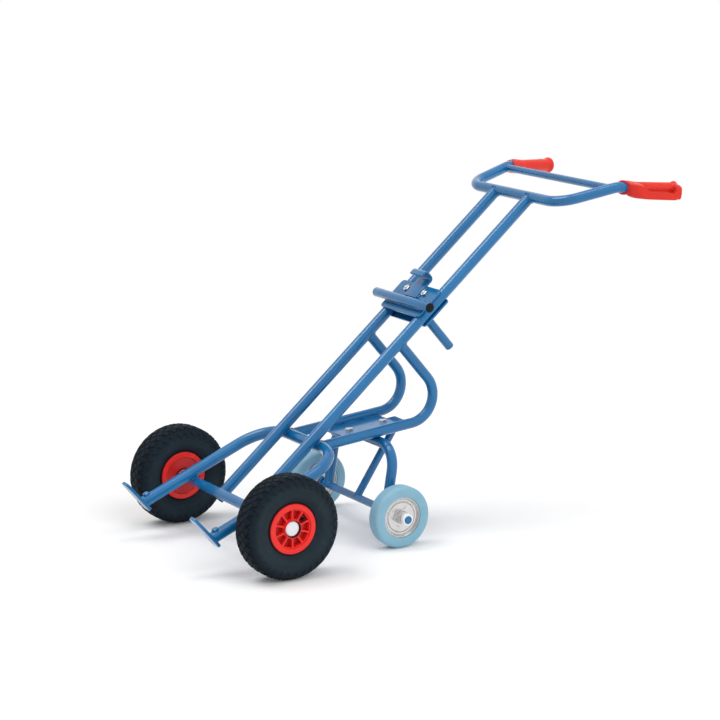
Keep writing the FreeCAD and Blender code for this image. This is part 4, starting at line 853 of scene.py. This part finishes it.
def sectors(border, outline, rows, count, centre, axis, side):
    """Rings from border (share 1) to outline (share 0, grown by a scale), copied round the axis."""
    middle = outline[:-1].mean(0)
    rings = np.stack([share * border + (1 - share) * (middle + grow * (outline - middle))
                      for share, grow, _ in rows])
    height = np.array([row[2] for row in rows])[:, None]
    turn = np.arange(count)[:, None, None] * 2 * math.pi / count
    x = rings[..., 0] * np.cos(turn) - rings[..., 1] * np.sin(turn)
    y = rings[..., 0] * np.sin(turn) + rings[..., 1] * np.cos(turn)
    up = np.cross(axis, side)
    points = x[..., None] * side + y[..., None] * up + height[..., None] * axis
    return [centre + MM * tenth for tenth in points]


POCKETS, WEB, POCKET_FLOOR, HUB, DISH, FLANGE = 10, 28.0, 13.0, 23.5, 48.0, 32.0
POCKET_MIDDLE, POCKET_HALF, RIB_HALF = 35.25, 10.75, 2.1
u, v = square_loop(12, 10)
tenth = sector_border(u, v, HUB, DISH, math.pi / POCKETS)
soft_u, soft_v = softened(u, v, 0.22)
reach = POCKET_MIDDLE + POCKET_HALF * soft_u
pocket = np.stack([reach, soft_v * (reach * math.tan(math.pi / POCKETS) - RIB_HALF)], axis=-1)
pocket_rows = [(1, 1, WEB), (0, 1.04, WEB), (0, 1.02, WEB - 0.12), (0, 1, WEB - 0.6),
               (0, 0.96, POCKET_FLOOR + 1.2), (0, 0.90, POCKET_FLOOR), (0, 0, POCKET_FLOOR)]
print("a pocket has", len(pocket_rows), "rings of", len(u), "points")

# %% [markdown]
# The rest of the wheel is turned: the rim with its flanges and boss, the white cap that closes the hub
# and the black valve, which stands in one of the pockets.

# %% Rims, caps and valves
rim_profile = bent_line([(DISH, WEB), (DISH + 0.3, WEB), (50, FLANGE), (64, FLANGE), (64, 27), (57.5, 27),
                         (57.5, -27), (64, -27), (64, -FLANGE), (50, -FLANGE), (48, -WEB), (HUB, -WEB),
                         (HUB, -FLANGE), (14.8, -FLANGE), (14.8, 24), (21.5, 24), (21.5, FLANGE),
                         (HUB, FLANGE), (HUB, WEB)],
                        [0.1, 1.2, 4.4, 0.4, 0.5, 0.5, 0.4, 4.4, 1.2, 0.4, 1.0, 0.6, 0.8, 0.2, 0.4,
                         0.6, 0.6], 4)
cap_profile = bent_line([(0, 21.1), (14.6, 21.1), (14.6, 24), (18.5, 24), (18.5, 26.2), (14.5, 26.9),
                         (13.5, 26.4), (0, 26.9)], [0.3, 0.2, 0.3, 1.2, 0.8, 0.8], 5)
stem = bent_line([(0, 0), (4, 0), (4, 10), (3, 10.6), (3, 12), (4, 12.6), (4, 21.8), (0, 21.8)],
                 [0.2, 0.6, 0.3, 0.3, 0.6, 1.4], 4)
for side, sign in SIDES.items():
    centre, outward, body = beside(AXLE, sign * MAIN_SIDE), sign * ACROSS, f"{side}_main_wheel"
    across = np.cross(UP, outward)
    web = sectors(tenth, pocket, pocket_rows, POCKETS, centre, outward, across)
    rim = turned(rim_profile, centre, outward, across, 120, -math.pi / POCKETS)
    piece(f"{side}_red_rim", [rim, *web], rim_red, body, f"{side}_main_rim")
    cap = turned(cap_profile, centre, outward, across, 48)
    piece(f"{side}_white_cap", [cap], cap_white, body, f"{side}_hub_cap")
    stem_foot = np.mean(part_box(f"{side}_valve"), axis=0)
    stem_foot[1] = centre[1] + MM * sign * POCKET_FLOOR
    valve = turned(stem, stem_foot, outward, across, 24)
    piece(f"{side}_valve_stem", [valve], plug_black, body, f"{side}_valve")
print("rim:", triangles["left_red_rim"], "triangles each")

# %% [markdown]
# ## Support wheels
# Each small wheel is a solid pale tyre on two pressed zinc discs, back to back, with a hub tube through
# them. A disc is a turned profile: a raised middle, a groove and a rim that carries the tyre. The four
# points where the discs are spot-welded together are shallow domes, added to the profile's height.

# %% Support wheels
SMALL_SIDE, DISC_TOP, GROOVE_FLOOR, SHEET = 207.6, 13.0, 8.5, 2.4
WELD_PLACE, WELD_SIZE, WELD_RISE, WELD_TURN = 27.0, 3.6, 2.2, math.radians(68)


def pressing(centre, way, across, columns=144):
    """Turned sheet + axis times the rise of four domes, each a bell round its own place."""
    back = DISC_TOP - SHEET
    middle = bent_line([(17, back), (17, DISC_TOP), (37, DISC_TOP), (41, GROOVE_FLOOR), (45, GROOVE_FLOOR),
                        (50, 17)], [0.5, 2.5, 2.0, 3.0], 8)
    under = bent_line([(50, 17), (52.4, 17), (52.4, 0), (42, 0), (35, back), (17, back)],
                      [1.0, 2.0, 4.0, 3.0], 5)
    top = even_steps(middle, 80)
    quarter = math.pi / 2
    nearest = (np.mod(ring_angles(columns) - WELD_TURN, quarter) + quarter / 2) % quarter - quarter / 2
    aside = top[:, :1] * np.sin(nearest)
    outwards = top[:, :1] * np.cos(nearest) - WELD_PLACE
    rise = WELD_RISE * np.exp(-(aside ** 2 + outwards ** 2) / WELD_SIZE ** 2) * (top[:, 1:] > DISC_TOP - 1)
    sheet = turned(top, centre, way, across, columns) + MM * rise[..., None] * way
    return [sheet, turned(under, centre, way, across, columns)]


tyre_profile = mirrored(bent_line([(52.5, 0), (52.5, 19.4), (58, 19.4), (60, 20), (80, 20), (80, 0)],
                                  [1.5, 0.8, 1.0, 9.0], 6))
hub_profile = mirrored(bent_line([(13.6, 0), (13.6, 29), (17, 29), (17, 0)], 0.8, 3))
ring_profile = bent_line([(10.1, 38), (10.1, 32.1), (15, 32.1), (15, 44.1), (10.1, 44.1), (10.1, 38)],
                         [0.3, 0.6, 1.6, 0.8], 5)
end_rings = []
for side, sign in SIDES.items():
    centre, outward, body = beside(SUPPORT, sign * SMALL_SIDE), sign * ACROSS, f"{side}_support_wheel"
    tyre = turned(tyre_profile, centre, outward, BACK, 96)
    piece(f"{side}_pale_tyre", [tyre], support_grey, body, f"{side}_support_tyre")
    for name, way in (("outer", outward), ("inner", -outward)):
        disc = pressing(centre, way, np.cross(UP, way))
        piece(f"{side}_{name}_pressing", disc, disc_zinc, body, f"{side}_{name}_disc")
    hub = turned(hub_profile, centre, outward, BACK, 48)
    piece(f"{side}_hub_tube", [hub], zinc_steel, body, f"{side}_support_hub")
    end_rings.append(turned(ring_profile, centre, outward, BACK, 48))
piece("axle_end_rings", end_rings, bearing_white, "trolley_frame", "support_axle_rings")
print("support tyre:", triangles["left_pale_tyre"], "triangles each")

# %% [markdown]
# ## Sliding clamp
# The clamp rides on the rails: two plates with the rails between them, a rest tube and a hook in front
# and a hand lever behind. All of it moves together, so all of it rides on the clamp's body.

# %% Clamp
CLAMP_STATION, CLAMP_FACE, CLAMP_INSIDE = 708.0, 20.3, 15.3
REST_STATION, REST_DEPTH, REST_RADIUS, REST_HALF = 689.0, -32.8, 12.5, 129.0
HOOK_WIDTH, HOOK_THICK, HOOK_LIFT = 56.0, 6.0, 2.0
BOLT_STATION, BOLT_SIDE, LEVER_RADIUS, LEVER_LENGTH = 732.0, 42.0, 12.0, 150.0


def clamp_piece(name, grids, node, finish=frame_blue):
    piece(name, grids, finish, "drum_clamp", node)


def rounded_bar(width, height, radius):
    """Section of a flat bar: corner centres + radius times the outline's normal."""
    outline, normal = rounded_outline(box_corners(-0.5, 0.5, -0.5, 0.5), 0.0, 4)
    return MM * (np.sign(outline) * (np.array([width, height]) / 2 - radius) + radius * normal)


for name, depth in (("front", -CLAMP_FACE), ("rear", CLAMP_INSIDE)):
    seat = on_rails(CLAMP_STATION, depth)
    sheet = plate(box_corners(-92, 92, -48, 48), 10.0, CLAMP_FACE - CLAMP_INSIDE, 1.0, seat, ACROSS, ALONG)
    clamp_piece(f"clamp_{name}_sheet", [sheet], f"clamp_{name}_plate")
rest_middle = on_rails(REST_STATION, REST_DEPTH)
rest_profile = rod(REST_RADIUS, -REST_HALF, REST_HALF, 0.6, 3)
clamp_piece("rest_bar", [turned(rest_profile, rest_middle, ACROSS, BACK, 36)], "clamp_rest_tube")
dome_turn = np.linspace(0, math.pi / 2, 9)
plug_dome = np.stack([REST_RADIUS * np.cos(dome_turn), 1 + 3 * np.sin(dome_turn)], axis=-1)
plug_profile = np.concatenate([[(0, 0), (REST_RADIUS - 0.3, 0), (REST_RADIUS, 0.3)], plug_dome])
plugs = [turned(plug_profile, beside(rest_middle, sign * REST_HALF), sign * ACROSS, BACK, 36)
         for sign in SIDES.values()]
clamp_piece("rest_bar_plugs", plugs, "clamp_rest_plugs", plug_black)
lever_foot = on_rails(CLAMP_STATION, CLAMP_FACE)
lever_profile = rod(LEVER_RADIUS, 0, LEVER_LENGTH, [0.2, 2.5], 5)
clamp_piece("hand_lever", [turned(lever_profile, lever_foot, REAR, ACROSS, 36)], "clamp_lever")
hook_line = bent_line([(-3, 0), (-3, 69), (-33, 69), (-33, 50)], [9.0, 9.0], 10)
hook_foot = on_rails(CLAMP_STATION + HOOK_LIFT, -CLAMP_FACE)
hook_path = hook_foot + MM * (hook_line[:, :1] * REAR + hook_line[:, 1:] * ALONG)
hook = swept(hook_path, rounded_bar(HOOK_WIDTH, HOOK_THICK, 1.2), ACROSS)
clamp_piece("rim_hook_strip", [capped(hook)], "rim_hook")
clamp_seats = [[on_rails(BOLT_STATION, depth, sign * BOLT_SIDE) for depth in (CLAMP_FACE, -CLAMP_FACE)]
               for sign in SIDES.values()]
bolted("clamp", "drum_clamp", clamp_seats, REAR, ALONG, 17.0, 6.4, 5.0, 9.4)
print("clamp: 8 pieces")


# %% [markdown]
# ## Weld beads
# Where tubes meet, the welder leaves a rippled bead, and the powder coat rounds it off. The seam of two
# tubes is where a point of one tube's skin is just as far from the other tube's axis as that tube's
# radius. Solving that for every angle at once gives the seam; a small rippled circle swept along it is
# the bead. Where tubes only touch side by side, the bead is a ring round the place they touch.

# %% Seams and beads
RIPPLE, RIPPLE_RISE, FADE = 3.0, 0.07, 4.0
BEAD, FOOT_BEAD, LONG_BEAD, FINE_BEAD, THIN_BEAD = 2.6, 2.8, 2.4, 2.2, 2.0


def saddle(root, way, radius, axis_point, axis, main_radius, first=0.0, last=360.0, count=73):
    """Points of one tube's skin that lie on the other tube: the larger root of a quadratic."""
    side = unit(axis - (axis @ way) * way)
    skin = root + MM * radius * around(np.radians(np.linspace(first, last, count)), way, side)
    offset = skin - axis_point
    offset = offset - (offset @ axis)[:, None] * axis
    flat = way - (way @ axis) * axis
    half = offset @ flat
    rest = (offset * offset).sum(-1) - (MM * main_radius) ** 2
    reach = (-half + np.sqrt(np.maximum(half ** 2 - (flat @ flat) * rest, 0))) / (flat @ flat)
    return skin + reach[:, None] * way


def ring_seam(middle, axis, side, radius, columns=40):
    """A circle about an axis."""
    return middle + MM * radius * around(ring_angles(columns), axis, side)


def stroke(start, end):
    """A straight weld, with enough points for its ripples."""
    return start + np.linspace(0, 1, 60)[:, None] * (end - start)


def bead_along(seam, size, side, ring=True):
    """A circle swept along the seam; its radius ripples every 3 mm and fades at open ends."""
    run = run_along(seam) / MM
    waves = max(round(run[-1] / RIPPLE), 4)
    ripple = 1 + RIPPLE_RISE * np.sin(2 * math.pi * waves * run / run[-1])
    if not ring:
        ripple = ripple * np.clip(np.minimum(run, run[-1] - run) / FADE + 0.25, 0, 1)
    grid = swept(seam, circle_section(size, 8)[None] * ripple[:, None, None], side, ring)
    return grid if ring else capped(grid)


trial = bead_along(ring_seam(AXLE, ACROSS, BACK, RAIL_RADIUS), BEAD, ACROSS)
print("a bead round a rail has", trial.shape[0] * trial.shape[1], "points")

# %% [markdown]
# The frame's welds run round the tubes' ends, in short strokes along the mounting plate's edges and
# across the top of the support's hoop. The clamp's run round its lever and along its rest and hook.

# %% Welds
RAIL_RING, AXLE_RING, LEVER_RING = 8.5, 8.2, LEVER_RADIUS + 0.4
BAR_MEETS, EDGE_INSET, ARCH_SKIN, ARCH_STROKE = 243.5, 11.6, 11.2, 40.0
PLATE_STROKES = ((2, 44), (61, 105), (122, 164))
REST_SHIFT, REST_STROKE, HOOK_EDGE, HOOK_STROKE = 8.5, 88.0, 28.6, (712.0, 754.0)
bar_axis = on_rails(BAR_STATION, BAR_DEPTH)
welds = []
for sign in SIDES.values():
    place = sign * RAIL_SIDE
    corner, kink, _ = handle_side(sign)
    rail_foot, rail_top = on_rails(0, 0, place), on_rails(HANDLE_STATION, 0, place)
    leg_root, leg_end = on_rails(LEG_STATION, 0, place), on_rails(BAR_STATION, BAR_DEPTH, place)
    top_seam = saddle(rail_top, -ALONG, RAIL_RADIUS, handle_front, ACROSS, BOW_RADIUS)
    foot_seam = saddle(rail_foot, ALONG, RAIL_RADIUS, AXLE, ACROSS, THIN_TUBE, 112, 248, 61)
    leg_seam = saddle(leg_root, REAR, THIN_TUBE, rail_foot, ALONG, RAIL_RADIUS)
    end_seam = saddle(leg_end, LEG_RUN, THIN_TUBE, bar_axis, ACROSS, HOOP_RADIUS)
    rail_touch = ring_seam(on_rails(BAR_STATION, RAIL_RADIUS, place), REAR, ALONG, RAIL_RING)
    axle_touch = AXLE + MM * (sign * HOOP_SIDE * ACROSS + THIN_TUBE * hoop_front)
    hoop_touch = ring_seam(axle_touch, hoop_front, ACROSS, AXLE_RING)
    hoop_foot = ring_seam(foot_of(sign), -hoop_up, hoop_front, HOOP_RADIUS, 60)
    bar_end = beside(bar_middle, sign * BAR_MEETS)
    bar_seam = saddle(bar_end, -sign * ACROSS, BAR_RADIUS, kink, unit(corner - kink), BOW_RADIUS)
    welds += [bead_along(top_seam, BEAD, ALONG), bead_along(foot_seam, BEAD, REAR, False),
              bead_along(leg_seam, BEAD, REAR), bead_along(end_seam, BEAD, LEG_RUN),
              bead_along(rail_touch, BEAD, REAR), bead_along(hoop_touch, BEAD, hoop_front),
              bead_along(sawn(hoop_foot, hoop_up, foot_of(sign), ALONG), FOOT_BEAD, ALONG),
              bead_along(bar_seam, FINE_BEAD, ACROSS)]
    edge = sign * (RAIL_SIDE - EDGE_INSET)
    for drop in (TOP_DROP, JOINT_DROP):
        for ends in PLATE_STROKES:
            line = [under_legs(PLATE_START + run, drop, edge) for run in ends]
            welds.append(bead_along(stroke(*line), FINE_BEAD, LEG_UP, False))
    root = beside(SUPPORT, sign * SUPPORT_SIDE)
    for face in (-1, 1):
        seam = saddle(root, face * ACROSS, SHAFT_RADIUS, root, support_up, THIN_TUBE, -95, 95, 49)
        welds.append(bead_along(seam, THIN_BEAD, ACROSS, False))
brace_end = ring_seam(SUPPORT + MM * BRACE_LENGTH * brace_up, brace_up, ACROSS, BRACE_RADIUS, 48)
brace_end = sawn(brace_end, brace_up, under_legs(BRACE_RUN, UNDER_DROP), LEG_UP)
brace_foot = saddle(SUPPORT, brace_up, BRACE_RADIUS, SUPPORT, ACROSS, SHAFT_RADIUS)
welds += [bead_along(brace_end, FINE_BEAD, LEG_UP), bead_along(brace_foot, THIN_BEAD, brace_up)]
for shift in (-7.0, 7.0):
    arch_top = SUPPORT + arch_rise + MM * (ARCH_SKIN * LEG_UP + shift * LEG_RUN)
    line = [beside(arch_top, reach) for reach in (-ARCH_STROKE, ARCH_STROKE)]
    welds.append(bead_along(stroke(*line), LONG_BEAD, LEG_UP, False))
frame_piece("frame_welds", welds)

clamp_welds = [bead_along(ring_seam(lever_foot, -REAR, ALONG, LEVER_RING), FINE_BEAD, REAR)]
for shift in (-REST_SHIFT, REST_SHIFT):
    line = [on_rails(REST_STATION + shift, -CLAMP_FACE - 2.2, sign * REST_STROKE)
            for sign in SIDES.values()]
    clamp_welds.append(bead_along(stroke(*line), FINE_BEAD, REAR, False))
for across in (-HOOK_EDGE, HOOK_EDGE):
    line = [on_rails(station, -CLAMP_FACE - 0.6, across) for station in HOOK_STROKE]
    clamp_welds.append(bead_along(stroke(*line), THIN_BEAD, REAR, False))
piece("clamp_welds", clamp_welds, frame_blue, "drum_clamp")
print("welds:", triangles["frame_welds"] + triangles["clamp_welds"], "triangles")

# %% [markdown]
# ## Finishes for the CAD nodes that stay
# Small pieces inside the wheels and under the plates are right as the CAD has them, so they keep their
# meshes and only take a finish.

# %% Dress the remaining nodes
zinc_nodes = ("main_axle", "main_axle_washers", "main_axle_rings", "support_axle_washers", "clamp_spacers")
inside_finishes = dict.fromkeys(zinc_nodes, zinc_steel)
for side in SIDES:
    inside_finishes[f"{side}_inner_tube"] = tyre_black
    inside_finishes[f"{side}_main_bearings"] = bearing_white
    inside_finishes[f"{side}_support_bearing"] = bearing_white
for name, finish in inside_finishes.items():
    for material_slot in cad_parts[name].material_slots:
        material_slot.material = finish.material
print(len(inside_finishes), "nodes keep their CAD shape")

# %% [markdown]
# ## Floor, light and camera
# The trolley stands on a white floor. To the camera and in reflections the floor glows a little by
# itself, and far from the trolley it is all glow, so that only the soft shadow under the wheels is left
# of its shading.

# %% Floor
FLOOR_HALF, FLOOR_SINK, FLOOR_PALE, OWN_LIGHT = 14.0, 0.0005, 0.93, 0.03
GLOW_FROM, GLOW_FULL = 1.2, 2.6
WHITE = (1.0, 1.0, 1.0, 1.0)
scene = bpy.context.scene
floor_mesh = bpy.data.meshes.new("studio_floor")
floor_corners = box_corners(-FLOOR_HALF, FLOOR_HALF, -FLOOR_HALF, FLOOR_HALF)
floor_mesh.from_pydata([(x, y, -FLOOR_SINK) for x, y in floor_corners], [], [(0, 1, 2, 3)])
floor = bpy.data.objects.new("studio_floor", floor_mesh)
scene.collection.objects.link(floor)
paper = Finish("floor_paper", Roughness=0.9, Specular_IOR_Level=0.1)
paper.shader.inputs["Base Color"].default_value = (FLOOR_PALE, FLOOR_PALE, FLOOR_PALE, 1.0)
lit = Value(paper, paper.shader.outputs[0])
glow = paper.node("ShaderNodeEmission", {}, {"Color": WHITE, "Strength": 1.0})
seen = paper.seen()
own_light = paper.node("ShaderNodeMixShader", {}, {0: seen * OWN_LIGHT, 2: glow})
both = paper.node("ShaderNodeAddShader", {}, {0: lit, 1: own_light})
far = paper.node("ShaderNodeVectorMath", {"operation": "LENGTH"}, {0: paper.place}, "Value")
distant = seen * paper.step(far, GLOW_FROM, GLOW_FULL)
mixed = paper.node("ShaderNodeMixShader", {}, {0: distant, 1: both, 2: glow})
paper.tree.links.new(mixed.socket, paper.tree.nodes["Material Output"].inputs["Surface"])
floor_mesh.materials.append(paper.material)
print("floor", FLOOR_HALF * 2, "metres square")

# %% [markdown]
# The surroundings are white to the camera and to reflections, and a softer grey to the diffuse light,
# which leaves room for three suns. A broad one over the camera's right side models the tubes; it is kept
# out of reflections, as a large diffuser would do. One from the upper left draws the bright line along
# the rails, and a faint one overhead draws it along the handle's arm.
# The camera stands in front of the left wheel, above the handle, with a long lens.

# %% Light and camera
SKY_DIFFUSE = 0.45
SUNS = {  # strength, breadth in degrees, direction to the sun, seen in reflections
    "front_sun": (1.35, 50.0, (0.15, -0.80, 0.58), False),
    "rail_sun": (1.15, 32.0, (-0.40, 0.20, 0.90), True),
    "arm_sun": (0.4, 24.0, (0.08, -0.06, 0.99), True),
}
CAMERA_PLACE, CAMERA_DOWN, CAMERA_TURN, FOCAL_LENGTH = (-3.1713, -5.0960, 1.7348), 12.229, -31.058, 117.9
scene.view_settings.view_transform = "Standard"
world = bpy.data.worlds.new("studio")
scene.world = world
world.use_nodes = True
sky = Network(world.node_tree)
background = sky.tree.nodes["Background"]
background.inputs["Color"].default_value = WHITE
level = sky.node("ShaderNodeMapRange", {}, {"Value": sky.seen(), "To Min": SKY_DIFFUSE, "To Max": 1.0})
sky.tree.links.new(level.socket, background.inputs["Strength"])
for name, (strength, breadth, source, reflected) in SUNS.items():
    sun = bpy.data.lights.new(name, "SUN")
    sun.energy, sun.angle = strength, math.radians(breadth)
    lamp = bpy.data.objects.new(name, sun)
    lamp.visible_glossy = reflected
    lamp.rotation_euler = Vector(source).to_track_quat("Z", "Y").to_euler()
    scene.collection.objects.link(lamp)
lens = bpy.data.cameras.new("photo_camera")
lens.sensor_width, lens.lens = 36.0, FOCAL_LENGTH
camera = bpy.data.objects.new("photo_camera", lens)
camera.location = CAMERA_PLACE
camera.rotation_euler = (math.radians(90 - CAMERA_DOWN), 0.0, math.radians(CAMERA_TURN))
scene.collection.objects.link(camera)
scene.camera = camera
print(len(SUNS), "suns; the camera is", np.linalg.norm(CAMERA_PLACE).round(2), "metres from the origin")

# %% Measure and finish
print("triangles in new pieces:", sum(triangles.values()))
